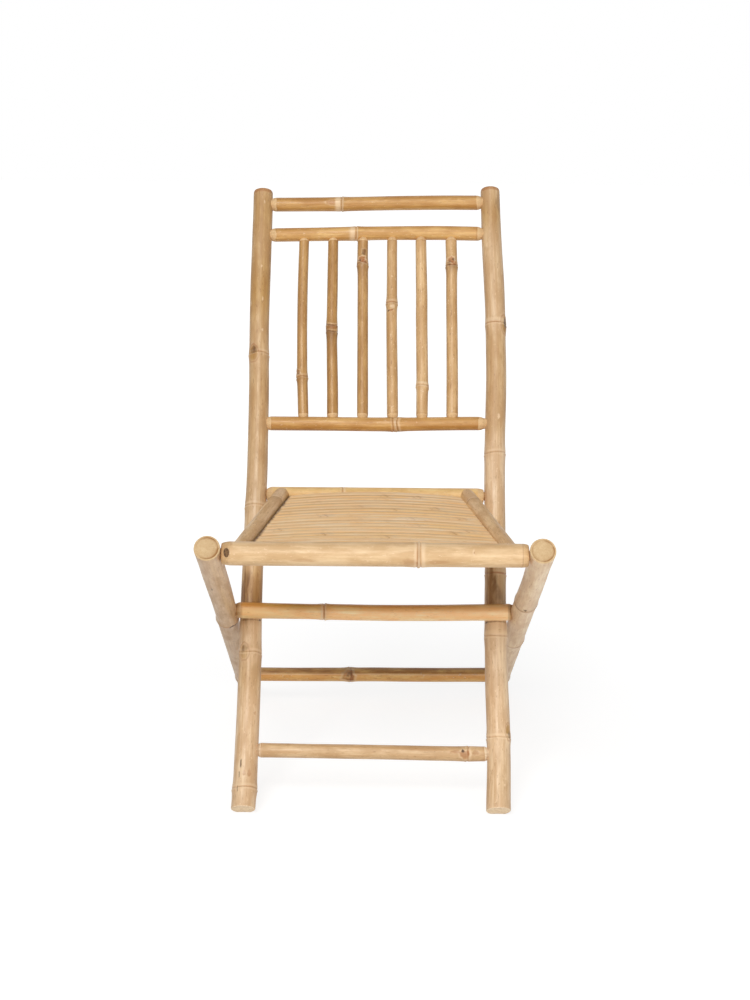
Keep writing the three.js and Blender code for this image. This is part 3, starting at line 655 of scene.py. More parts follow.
# %% [markdown]
# Each frame of the chair has its own directions. In the back frame, z runs up the posts and y points behind them.
# In the legs' frame, z runs down the legs from the seat's front rail. A matrix turns a piece that is drawn in
# one of these frames into the chair's own, so lengths can be written as they would be measured with a rule.

# %% Frames of the back, the seat and the legs
LEAN, LEG_ANGLE = math.radians(28.6), math.radians(34.45)
REAR_PIVOT = Vector((0, 0.0494827, 0.4223))
FRONT_PIVOT = Vector((0, -0.2905173, 0.4223))
BACK = Matrix.Translation((0, FLOOR_LINE_Y, 0)) @ Matrix.Rotation(-LEAN, 4, "X")
LEGS = Matrix.Translation(FRONT_PIVOT) @ Matrix.Rotation(-(math.pi / 2 + LEG_ANGLE), 4, "X")
SEAT = Matrix.Translation(REAR_PIVOT)


def between(base, start, end):
    """The frame of a straight culm from start to end, in millimetres in its base frame, and its length."""
    a, b = Vector(start), Vector(end)
    ahead = (b - a).normalized()
    side = Vector((0, 1, 0)) if abs(ahead.x) > 0.5 else Vector((1, 0, 0))
    across = (side - ahead * side.dot(ahead)).normalized()
    third = ahead.cross(across)
    turn = Matrix([[across[i], third[i], ahead[i], a[i] * MM] for i in range(3)] + [[0, 0, 0, 1]])
    return base @ turn, (b - a).length


def moved(looks, by, tables=("girth", "bow", "bend")):
    """A culm's looks with its nodes, its scars and some of its tables counted from another place."""
    fresh = {key: [(at + by, x) for at, x in looks[key]] if key in tables else looks[key] for key in looks}
    for key in ("nodes", "scars"):
        fresh[key] = [{**mark, "at": mark["at"] + by} for mark in looks.get(key, ())]
    return fresh


print("frames ready")

# %% [markdown]
# The posts are the thickest culms. Neither is straight: the left one bends in a little beside the lower rail, and
# the right one bulges outwards behind the sitter's shoulder. Both feet turn forward, so their sawn ends show from
# the front. A bud scar on the left post and one on the right mark where branches were cut off, and below the seat
# both posts are stained brown and darkened further with painted shade.

# %% Posts
DROP = {"halo": 0.3, "rim": 0.5, "rise": 0.7, "sink": -0.4, "uneven": 0.3, "clear": 0.9}  # the gold of a bud scar
CORE = {"halo": 0, "rim": 0.3, "rise": 0.2, "sink": 0.6, "uneven": 0.5}  # its dark middle
POST_SPACING, POST_LENGTH, TOP_SKEW, FOOT_DROP = 373.5, 1000.3, 3.4, 0.8
FOOT_BEND = [(0, -20.8), (34, -13), (110, -3.6), (170, 0), (1000, 0)]


def make_post(name, sign, seed, scars, **looks):
    x, top = sign * POST_SPACING / 2, POST_LENGTH + sign * TOP_SKEW
    place, length = between(BACK, (x, 0, -FOOT_DROP), (x, 0, top))
    looks |= {"bend": FOOT_BEND, "edge": (0.95, 0.88), "faces": (FOOT_FACE, PLAIN_FACE), "sides": 96}
    worn_rim = scar(top - 1, 270, 75, 11, 0.6, "line", **FLAT)
    piece = tube(name + "_culm", place, length, scars=[*scars, worn_rim], seed=seed, on_floor=True, **looks)
    finish_piece(piece, POST, "back_frame", name)


make_post(
    "left_post", -1, 11,
    girth=[(0, 17.8), (36, 17.6), (100, 17.4), (160, 17.2), (222, 17.2), (320, 16.2), (358, 16), (460, 16.1)]
    + [(530, 16.1), (570, 15.85), (680, 15.8), (730, 15.5), (780, 15.5), (823, 15.9), (946, 15.9), (1000, 15.7)],
    bow=[(0, -2), (14, -1.4), (36, -0.8), (65, -0.7), (102, -0.35), (131, 0), (185, 0.3), (314, 0), (361, 0.45)]
    + [(504, 3.1), (537, 3.4), (570, 3), (636, 2.7), (678, 1.9), (703, 1), (771, -0.25), (840, -0.15), (955, 0.6)]
    + [(1000, 0.35)],
    nodes=[
        node(29, swell=1.4, strength=1.2, pale=0.6, line=0.42),
        node(233, swell=0.9, reach=11, wavy=2.4, line=0.42),
        node(462, swell=1.1, line=0.45, wavy=1.6, reach=13),
        node(712, swell=1.1, wavy=2.5, line=0.75, pale=0.5, reach=11),
    ],
    scars=[
        scar(710, 238, 19, 30, 0.4, "shade", **DROP), scar(716, 241, 14, 17, 0.75, "stain", **CORE),
        slit(717, 243, 5, 8, 0.45), scar(233, 242, 17, 27, 0.35, "shade", **DROP),
        scar(238, 243, 12, 13, 0.7, "stain", **CORE), scar(664, 238, 3, 11, 0.6, "stain", halo=0, rise=0),
        slit(64, 249, 2.2, 18, 0.95), slit(48, 243, 2.2, 12, 0.8), slit(25, 240, 2, 10, 0.7),
        scar(50, 268, 6, 10, 0.36, "line", halo=0, sink=0.2), scar(50, 293, 6, 14, 0.4, "line", halo=0, sink=0.2),
        scar(140, 310, 5, 7, 0.3, "line", rise=0.4), speck(859, 278, 2.6, 6, 0.9), speck(972, 284, 2.4, 8, 0.8),
        speck(803, 290, 3, 9, 0.8), speck(750, 293, 4, 6, 0.8), speck(797, 212, 3, 11, 0.7),
        # painted shadow: a thin dark band just below the stop bar and a dark spot at the post's edge, where the bar
        # rests
        scar(281.5, 268, 40, 3.2, 0.6, "stain", **FLAT), slit(282, 330, 7, 3.6, 0.9),
        scar(322, 228, 22, 76, 0.6, "stain", uneven=2, **FLAT),
    ],
    stains=[(294, 340, 0.56, 14)],
    # aged tint along the post, and from 285 to 385 mm painted shade between the stop bar and the seat
    shades=[(0, 0.03), (165, 0.12), (190, 0.5), (206, 0.5), (230, 0.1), (285, 0.2), (308, 1), (330, 0.7)]
    + [(352, 0.6), (382, 0.28), (460, 0.2), (520, 0.42), (660, 0.58), (700, 0.42), (750, 0.5), (812, 0.88)]
    + [(900, 0.56), (960, 0.76), (1000, 0.55)],
)
make_post(
    "right_post", 1, 12,
    girth=[(0, 18.1), (24, 17.9), (53, 17.6), (105, 17.3), (134, 17.6), (225, 17.2), (250, 17), (323, 16.4)]
    + [(361, 16), (460, 16.2), (532, 16.2), (573, 16), (631, 16.2), (732, 15.95), (783, 15.95), (826, 16.4)]
    + [(870, 16.4), (914, 16.2), (950, 15.8), (1004, 15.5)],
    bow=[(0, -2.6), (17, -2.2), (38, -1), (68, 0), (105, 0.6), (134, 0.4), (188, -0.95), (252, -1.2), (317, -1.4)]
    + [(364, -0.1), (507, 0.2), (540, 1.25), (573, 1.65), (639, 4.35), (673, 5.3), (706, 5.5), (775, 5.3)]
    + [(809, 5), (844, 3.9), (897, 1.6), (959, 0.1), (1004, -0.3)],
    nodes=[
        node(107, swell=1.2, strength=1.3, line=0.5, pale=0.9),
        node(261, swell=1.2, strength=0.7, reach=12, line=0.4, pale=1, band=4, wavy=1.5),
        node(358, swell=0.8, line=1, pale=0.2, wavy=1.4, thick=1.6),
        node(550, swell=1.1, strength=1.3, line=0.5, reach=12, pale=0.5),
        node(766, swell=1.1, strength=1.1, line=0.6, wavy=1.6, pale=0.8, band=4),
    ],
    scars=[
        scar(764, 327, 18, 34, 0.5, "shade", **DROP), scar(767, 333, 10, 21, 0.85, **CORE),
        scar(115, 318, 12, 28, 0.7, "shade", **DROP), scar(110, 326, 6, 13, 0.6, **CORE),
        speck(608, 284, 5, 11, 1), scar(268, 288, 6, 7, 0.9, "shade"),
        scar(332, 243, 26, 86, 0.6, "stain", uneven=2, **FLAT),
        scar(338, 262, 10, 26, 0.3, "stain", uneven=2, **FLAT),
        # painted light: a pale patch just below the stop bar, lifting the post out of the bar's shade
        scar(274, 272, 30, 30, 0.5, "pale", **FLAT),
        scar(34, 296, 3.4, 4, 0.9, "pale", halo=0.2, sink=0), scar(44, 300, 2.6, 4, 0.9, "pale", halo=0.2, sink=0),
        scar(900, 236, 5, 9, 0.6, "pale", sink=0.2), scar(976, 316, 13, 30, 0.35, "stain", **FLAT),
        # painted shadow: a thin dark band just below the stop bar and a dark spot at the post's edge, where the bar
        # rests
        scar(281.5, 268, 40, 3.2, 0.6, "stain", **FLAT), slit(281, 208, 7, 3.6, 0.9),
    ],
    stains=[(300, 357, 0.08, 3)],
    # aged tint along the post, and from 300 to 385 mm painted shade between the stop bar and the seat
    shades=[(0, 0.05), (42, 0.26), (75, 0.1), (240, 0), (300, 0.1), (315, 0.5), (352, 0.62), (385, 0.15)]
    + [(437, 0.42), (458, 0.02), (562, 0.02), (580, 0.42), (745, 0.52), (766, 0.1), (790, 0.27), (910, 0.28)]
    + [(960, 0.8), (985, 0.42), (1003, 0.4)],
)
print("posts: 2")

# %% [markdown]
# A rail joins the posts by a tenon at each end, whittled with a knife until it fits the hole in the post. The
# skin is gone there, so a pale blunt point shows where rail and post meet. Each rail's thickness, bend, colour
# and node are its own, and the right end of the upper rails lies a little higher than the left one.

# %% Rails of the back frame
RAIL_TENON, RAIL_SINK = 15, 1  # the ends sink a little into the posts
POST_FOOT_RADIUS, POST_TAPER = 18.1, 1.9
# height of the middle along the posts, and how much higher the right end lies
RAIL_PLACES = {"top_rail": (977.7, 6.4), "upper_back_rail": (923.9, 5)}
RAIL_PLACES |= {"lower_back_rail": (598, 2.6), "front_foot_rail": (85, -2.3)}


def make_back_rail(name, seed, material, forward=0, **looks):
    along, skew = RAIL_PLACES[name]
    post = POST_FOOT_RADIUS - POST_TAPER * along / POST_LENGTH
    ends = [(sign * (POST_SPACING / 2 - post + RAIL_SINK), -forward, along + sign * skew / 2) for sign in (-1, 1)]
    place, length = between(BACK, *ends)
    looks = {"neck": (0.8, 0.8), **moved(looks, length / 2)}
    piece = tube(name + "_culm", place, length, ends=WHITTLED, tenon=RAIL_TENON, seed=seed, **looks)
    finish_piece(piece, material, "back_frame", name)


make_back_rail(
    "top_rail", 21, RAIL,
    girth=[(-160, 11.3), (-101, 11.3), (-85, 11.5), (-44, 11.6), (-27, 11.4), (2, 11.5), (95, 11.7), (160, 11.8)],
    bend=[(-160, -0.9), (-101, -1), (-60, -1.1), (-27, -0.65), (2, -0.25), (47, 0.2), (104, 0.35), (160, -0.4)],
    nodes=[node(-58, swell=0.9, pale=1.1, line=0.3, band=4.6, side=-1, strength=1.3, smudge=(0.3, 5))],
    scars=[scar(-74, 190, 9, 18, 0.5, "line", halo=0.4, sink=0.1)],
    shades=[(0, 0.38), (95, 0.36), (112, 0.2), (330, 0.24)],
    # painted shade along the top
    weathered=(118, 0.5),
)
make_back_rail(
    "upper_back_rail", 22, RAIL,
    girth=[(-160, 11), (-84, 11), (-43, 11.4), (-30, 11.5), (3, 11), (47, 11.35), (160, 11.45)],
    bend=[(-157, -1.9), (-100, -1.2), (-43, -0.5), (3, 0.25), (87, 0.45), (104, 0.25), (145, -0.75), (161, -1.3)],
    nodes=[node(-33, swell=1.3, pale=1, line=0.4, band=5, side=-1, strength=1.3, smudge=(0.25, 5))],
    # painted shade along the top
    weathered=(118, 0.4),
)
make_back_rail(
    "lower_back_rail", 23, RAIL,
    girth=[(-150, 11.1), (5, 11.1), (20, 11.3), (47, 10.9), (63, 10.8), (160, 10.75)],
    bend=[(-150, 0.3), (-95, 0), (-55, -0.5), (5, -1.2), (47, -1.15), (87, -0.2), (142, 0.5), (160, 0.55)],
    nodes=[
        node(28, swell=1.2, line=0.7, pale=0.5, wavy=1.2),
        node(35, line=0.6, pale=0.6, wavy=1.6, smudge=(0.2, 8)),
    ],
    shades=[(0, 0.18), (370, 0.24)],
    # painted shade along the underside
    weathered=(270, 0.45),
)
make_back_rail(
    "front_foot_rail", 24, POST,
    girth=[(-140, 10.6), (-86, 10.5), (-34, 10.75), (20, 10.65), (48, 10.75), (100, 10.9), (160, 10.9)],
    bend=[(-138, 0.1), (-49, -0.15), (18, -0.3), (85, -0.8), (137, -0.95), (152, -0.8)],
    nodes=[node(141, swell=1.1, line=0.5, wavy=4, pale=0.5, reach=13), node(-168, swell=0.5, line=0.3, strength=0.4)],
    scars=[
        scuff(136, 192, 15, 17, 0.55, 0.5, 0.4), scuff(122, 170, 6, 17, 0.45, 0.2, 0.1),
        scuff(152, 175, 9, 12, 0.3, 0.2, 0.1), scar(133, 165, 5.5, 5.5, 1, rise=0.3),
    ],
    shades=[(0, 0.36), (370, 0.4)],
    forward=6.8, whittle=(5, 5), grime=(0.3, 0.25),
)
print("back rails:", len(RAIL_PLACES))

# %% [markdown]
# The six spindles are the thinnest culms, and no two are the same thickness, colour or bend. Their nodes lie at
# different heights, because each was cut from whatever length of culm was at hand.

# %% Spindles
SPINDLE_START = 10.6  # of a spindle's visible end from the axis of the rail
SPINDLE_FORM = {"tenon": 8, "whittle": (5, 5), "neck": (0.85, 0.85), "sides": 48}


def rail_height(rail, x):
    along, skew = RAIL_PLACES[rail]
    return along + skew * x / POST_SPACING


def make_spindle(i, top, bottom, shade, **looks):
    low = rail_height("lower_back_rail", bottom) + SPINDLE_START
    high = rail_height("upper_back_rail", top) - SPINDLE_START
    place, length = between(BACK, (bottom, 0, low), (top, 0, high))
    looks = {**SPINDLE_FORM, "shades": [(0, shade), (length, shade)], **moved(looks, -SPINDLE_START)}
    piece = tube(f"back_spindle_{i}_culm", place, length, ends=WHITTLED, seed=30 + i, **looks)
    finish_piece(piece, SPINDLE, "back_frame", f"back_spindle_{i}")


make_spindle(
    1, -117.9, -114.1, 0.64,
    girth=[(26, 8.35), (79, 8.5), (106, 8.3), (150, 8.15), (243, 8.15), (300, 8.05)],
    bow=[(25, 0.3), (55, -0.55), (79, -1.5), (106, -1.7), (150, -2.05), (208, -1.85), (243, -1.45), (301, 0)],
    nodes=[node(76, swell=2.8, line=0.75, wavy=2, pale=0.3, smudge=(0.35, 9), reach=6)],
    scars=[scuff(84, 212, 10, 12, 0.35, 0.5, 0.7), scar(81, 235, 4, 5, 0.7, "stain", halo=0.4, rise=0.3)],
)
make_spindle(
    2, -70.8, -67.4, 0.72,
    girth=[(26, 9), (90, 8.8), (123, 8.6), (191, 8.6), (243, 8.6), (301, 8.35)],
    bow=[(26, 0.2), (69, 0), (106, -0.7), (157, -1.5), (174, -1.3), (209, -0.75), (261, -0.1), (301, 0.35)],
    nodes=[
        node(165, swell=1.7, line=0.7, pale=0.5, band=1.2, smudge=(0.9, 5)),
        node(154, swell=2, line=0.5, pale=0.4, band=1, smudge=(0.8, 18)),
    ],
    scars=[scar(159.5, 292, 16, 8, 0.6, "line", **FLAT), scar(159.5, 232, 13, 7, 0.3, "line", **FLAT)],
)
make_spindle(
    3, -22.4, -19.9, 0.62,
    girth=[(26, 8.9), (90, 8.8), (140, 8.65), (244, 8.55), (285, 8.8), (302, 8.7)],
    bow=[(26, 0), (140, 0.2), (209, 0.3), (244, 0.44), (261, 0.2), (275, -0.2), (302, 0.2)],
    nodes=[node(271, swell=2.5, line=0.7, wavy=2.6, pale=0.3, smudge=(0.55, 14), reach=8)],
    scars=[
        scuff(277, 262, 12, 12, 0.75, 0.7, 0.9), scar(275, 240, 5, 5, 0.8, halo=0.5, rise=0.3),
        scar(290, 288, 8, 13, 0.8, "stain"), scar(287, 272, 4, 6, 0.6, halo=0.2),
        scuff(273, 292, 11, 9, 0.4, 0.3, 0.2),
    ],
)
make_spindle(
    4, 25.8, 27, 0.24,
    girth=[(26, 9.05), (107, 8.95), (141, 8.75), (175, 8.85), (195, 8.9), (240, 8.5), (302, 8.4)],
    bow=[(26, 0.3), (70, 0), (141, -0.67), (175, -1), (192, -0.9), (210, -0.6), (262, -0.4), (302, -0.2)],
    nodes=[node(203, swell=2.8, line=0.7, wavy=2, pale=0.6, reach=7, smudge=(0.3, 6))],
    scars=[
        scar(195, 278, 8, 9, 0.9, "pale", halo=0, sink=0, rise=0.8), scuff(189, 258, 10, 3.4, 0.8, 0.3, 0.2),
        scar(188, 232, 4, 4, 0.8),
    ],
)
make_spindle(
    5, 72.7, 74, 0,
    girth=[(27, 9.3), (90, 9.45), (176, 9.4), (210, 9.4), (245, 9.2), (303, 8.85)],
    bow=[(27, 0), (70, 0.7), (107, 0.58), (141, 0.3), (176, 0.17), (210, 0.6), (245, 0.3), (303, -0.15)],
    nodes=[node(62, swell=2.8, line=0.5, wavy=1.5, pale=0.9, reach=6, smudge=(0.2, 8))],
)
make_spindle(
    6, 121.9, 121.5, 0.16,
    girth=[(27, 9.4), (108, 9.2), (211, 8.95), (245, 9.1), (303, 9.2)],
    bow=[(27, 0.2), (57, 0.46), (108, 0.7), (142, 0.6), (211, 0.22), (245, 0.4), (263, 0.75), (303, 0)],
    nodes=[node(268, swell=2.4, line=0.75, wavy=2.6, pale=0.4, smudge=(0.6, 9), reach=8)],
    scars=[
        scuff(276, 262, 13, 12, 0.7, 0.7, 0.8), scar(277, 285, 5, 6, 0.7, rise=0.3),
        scar(273, 248, 4, 5, 0.5, rise=0.3), scuff(271, 292, 12, 8, 0.45, 0.3, 0.2),
        scar(270, 236, 11, 9, 0.5, "stain", halo=0.2),
    ],
)
print("spindles: 6")

# %% [markdown]
# The legs start just in front of the seat's front rail with a broad sawn end that faces the viewer, pass outside
# the posts and end behind the chair. The sawn end shows the thick wall of the culm as a pale ring round a
# darker, softer middle. Seen almost end on, the legs' node rings look like wide open curves.

# %% Legs
LEG_SPACING, LEG_REACH, LEG_LENGTH = 446.3, 20.4, 726.1


def make_leg(name, sign, seed, **looks):
    x = sign * LEG_SPACING / 2
    place, length = between(LEGS, (x, 0, -LEG_REACH), (x, 0, LEG_LENGTH))
    looks = {"faces": (LEG_FACE, PLAIN_FACE), "edge": (0.975, 0.93), **moved(looks, LEG_REACH, ())}
    piece = tube(name + "_culm", place, length, sides=96, seed=seed, on_floor=True, **looks)
    finish_piece(piece, LEG if sign < 0 else PALE_LEG, "leg_frame", name)


make_leg(
    "left_leg", -1, 41,
    girth=[(0, 17.55), (25, 17.5), (50, 16.9), (94, 17.2), (176, 17.1), (235, 16.5), (300, 16.3), (749, 16.1)],
    bow=[(0, 0.45), (60, 0.3), (94, 0.5), (148, 0.9), (205, 1.2), (240, 1.1), (300, 0.85), (345, 0.3), (749, 0)],
    shades=[(0, 0.26), (130, 0.4), (220, 0.52), (749, 0.45)],
    nodes=[node(300, swell=1.9, wavy=2.2, reach=12, line=1, thick=2.6), node(664, swell=1.4, line=0.9, reach=12)],
    scars=[
        slit(111, 108, 2.4, 15, 0.9), scar(60, 84, 6, 22, 0.3, "line", halo=0, sink=0.2),
        scar(299, 62, 7, 9, 0.9, halo=0.2, rise=0), slit(303, 74, 4, 7, 0.8), slit(301, 42, 8, 8, 0.9),
    ],
)
make_leg(
    "right_leg", 1, 42,
    girth=[(0, 17.55), (22, 17.3), (60, 16.3), (140, 16.2), (165, 16.4), (205, 16.6), (240, 16.6), (300, 17)]
    + [(370, 16.5), (749, 16.1)],
    bow=[(0, -0.45), (60, 0), (109, 0.6), (165, 0.6), (193, -0.1), (300, -0.9), (401, -0.8), (749, -0.7)],
    shades=[(0, 0), (240, 0), (330, 0.2), (749, 0.24)],
    nodes=[
        node(206, line=0.85, wavy=1.6, reach=15, smudge=(0.3, 10), thick=2.8, pale=1),
        node(402, swell=1.4, line=1, wavy=1.8, reach=13, thick=3.6, pale=0.9), node(650, swell=1.3, reach=12),
    ],
    scars=[scar(199, 98, 4.5, 8, 1, halo=0.6, sink=1, rise=0.4)],
)
print("legs: 2")

# %% [markdown]
# Two bars join the legs. The upper one stops the chair from opening too far: it rests on the fronts of the posts.
# The lower one, near the rear feet, is the darkest culm of the chair and has a knotty node.

# %% Bars between the legs
LEG_INNER = 16.7  # from a leg's axis to the bars' ends


def make_leg_rail(name, seed, along, slot, material, **looks):
    half = LEG_SPACING / 2 - LEG_INNER
    place, length = between(LEGS, (-half, 0, along), (half, 0, along))
    looks = {"ends": WHITTLED, "tenon": RAIL_TENON, "grime": (0.7, 0.7), **moved(looks, length / 2)}
    piece = tube(name + "_culm", place, length, seed=seed, **looks)
    finish_piece(piece, material, "leg_frame", name)


make_leg_rail(
    "stop_bar", 51, 269.7, "rail", STOP,
    girth=[(-160, 11.9), (-126, 11.7), (-88, 11.5), (-70, 11.8), (-58, 12.1), (-28, 12), (32, 12.2), (160, 12.5)],
    bow=[(-160, -1.1), (-126, -0.6), (-58, 0), (-21, 0.65), (20, 0.85), (62, 0.7), (100, 0.2), (160, -1)],
    nodes=[node(-75, swell=1.6, reach=8, line=0.9, pale=1, side=-1, strength=1.5, smudge=(0.3, 6))],
    # painted shade along the top, where the seat shades the bar
    whittle=(8, 4), neck=(0.82, 0.9), weathered=(214, 0.78),
    shades=[(0, 0.45), (90, 0.3), (150, 0.05), (430, 0)],
)
make_leg_rail(
    "rear_foot_rail", 52, 650.1, "dark_rail", DARK_RAIL,
    girth=[(-161, 11.75), (-126, 11.7), (-100, 11.9), (-60, 11.9), (-20, 12.2), (9, 12.15), (160, 12.3)],
    bow=[(-161, 0.55), (-126, 0.6), (-83, 0.1), (-39, -0.1), (9, -0.75), (39, -0.45), (117, -0.5), (161, -0.95)],
    nodes=[node(-38, swell=2.2, wavy=3, pale=0.4, reach=8, smudge=(0.3, 7))],
    scars=[
        # along the top a dark band, partly darker skin and partly painted shade; along the middle a painted highlight
        scar(0, 238, 21, 3000, 0.7, "stain", uneven=0, **FLAT),
        scar(0, 284, 2, 3000, 0.5, "pale", uneven=0, **FLAT), scar(-41, 296, 18, 22, 0.4, bud=True, rise=1.2),
    ],
    # painted shade along the top
    neck=(0.8, 0.8), weathered=(214, 0.56),
)
print("leg rails: 2")

# %% [markdown]
# The seat's front rail is the palest culm and the one that shows most. Its ends are whittled and turn on dowels
# between the legs, the left one with a long slanting cut beside the dark plug that locks its dowel. The side
# rails run back from it, closer together at the rear.

# %% Rails of the seat
SEAT_DEPTH = 340
FRONT_HALF, REAR_LEFT, REAR_RIGHT = 204.7, 167.2, 169.2
SIDE_ENDS, SIDE_SHADE = (332, 4), 0.3  # millimetres in front of the rear rail's axis
SIDE_REAR, SIDE_FRONT = 143.55, 186.15  # of the side rails' axes from the middle
SIDE_RADIUS, SIDE_TAPER = 12.4, 1.4


def side_offset(forward):
    return SIDE_REAR + (SIDE_FRONT - SIDE_REAR) * forward / SEAT_DEPTH


def side_radius(forward):
    return SIDE_RADIUS - SIDE_TAPER * forward / SEAT_DEPTH


def make_cross_rail(name, seed, material, slot, left, right, forward, **looks):
    place, length = between(SEAT, (-left, -forward, 0), (right, -forward, 0))
    piece = tube(name + "_culm", place, length, ends=WHITTLED, seed=seed, **moved(looks, left, ()))
    finish_piece(piece, material, "seat", name)


make_cross_rail(
    "front_seat_rail", 61, FRONT_RAIL, "front_rail", FRONT_HALF, FRONT_HALF, SEAT_DEPTH,
    girth=[(0, 16.2), (200, 16.2), (409, 16.1)],
    nodes=[
        node(56, swell=0.6, line=0.55, pale=0.9, band=2, reach=10, strength=1.6, side=-1),
        node(60.5, swell=0.7, line=0.5, pale=0.9, band=3, reach=12, strength=1.6, wavy=1.4),
    ],
    scars=[
        scar(131, 150, 9, 3.4, 0.9, "pale"), scar(131.5, 152, 3, 2, 0.7, "line", halo=0),
        scar(46, 205, 16, 22, 0.3, "line", halo=0, sink=0), scar(84, 200, 7, 34, 0.3, "line", halo=0, sink=0),
        scar(-96, 196, 6, 40, 0.25, "line", halo=0, sink=0), scar(-88, 150, 2.4, 5, 0.8, "pale", halo=0.2),
    ],
    whittle=(12, 8), neck=(0.84, 0.9), lean=(0.3, 0), grime=(0.42, 0.35), sides=80,
)
make_cross_rail(
    "rear_seat_rail", 62, REAR_RAIL, "rail", REAR_LEFT, REAR_RIGHT, 0,
    girth=[(0, 12.3), (340, 12.3)], nodes=[node(-49, swell=0.5, line=0.6)], whittle=(9, 10), neck=(0.72, 0.82),
)

for sign, name, seed in ((-1, "left_side_rail", 63), (1, "right_side_rail", 64)):
    place, length = between(SEAT, *((sign * side_offset(ahead), -ahead, 0) for ahead in SIDE_ENDS))
    girth, shades = [(0, side_radius(SEAT_DEPTH)), (length, side_radius(0))], [(0, SIDE_SHADE), (length, SIDE_SHADE)]
    knot = node(272, swell=0.9, line=0.9, reach=11, pale=0.6, smudge=(0.35, 12))
    piece = tube(name + "_culm", place, length, girth, [knot], shades=shades, seed=seed)
    finish_piece(piece, SIDE_RAIL, "seat", name)
print("seat rails: 4")

# %% [markdown]
# The slats are strips split from wide culms and laid side by side, skin up. Each arches over the bearer in the
# middle of the seat, and no two are quite alike in width, height or tint. A strip is built as a grid of cross
# sections with a rounded upper face. Its knots lie where the photograph shows small torn brown marks.

# %% Slats
SLAT_COUNT, SLAT_GAP = 18, 0.7
SLAT_REAR, SLAT_FRONT = 13.5, 322.7
SLAT_THICK, SLAT_TOP, SLAT_CROWN, SLAT_ROUND, SLAT_END_GAP = 4.6, 3.2, 7.0, 1.1, 1.1
SLAT_PITCH = (SLAT_FRONT - SLAT_REAR) / SLAT_COUNT
SLAT_SHIFT, SLAT_ROWS, SLAT_COLUMNS, SLAT_WOBBLE, SLAT_SEED = 0.8, 181, 15, 0.25, 200
# sideways place, place in front of the rear rail, strength
SLAT_KNOTS = [(-73, 151, 1), (-22, 108, 0.5), (16, 43, 0.8), (17, 196, 0.4), (30, 131, 0.6), (54, 172, 0.6)]
SLAT_KNOTS += [(90, 101, 0.8), (127, 161, 1), (112, 249, 1), (132, 232, 0.8), (-71, 271, 1), (-135, 229, 0.7)]
SLAT_KNOTS += [(17, 279, 0.8), (-86, 66, 0.4), (65, 42, 0.9), (-20, 178, 0.3), (60, 205, 0.5)]


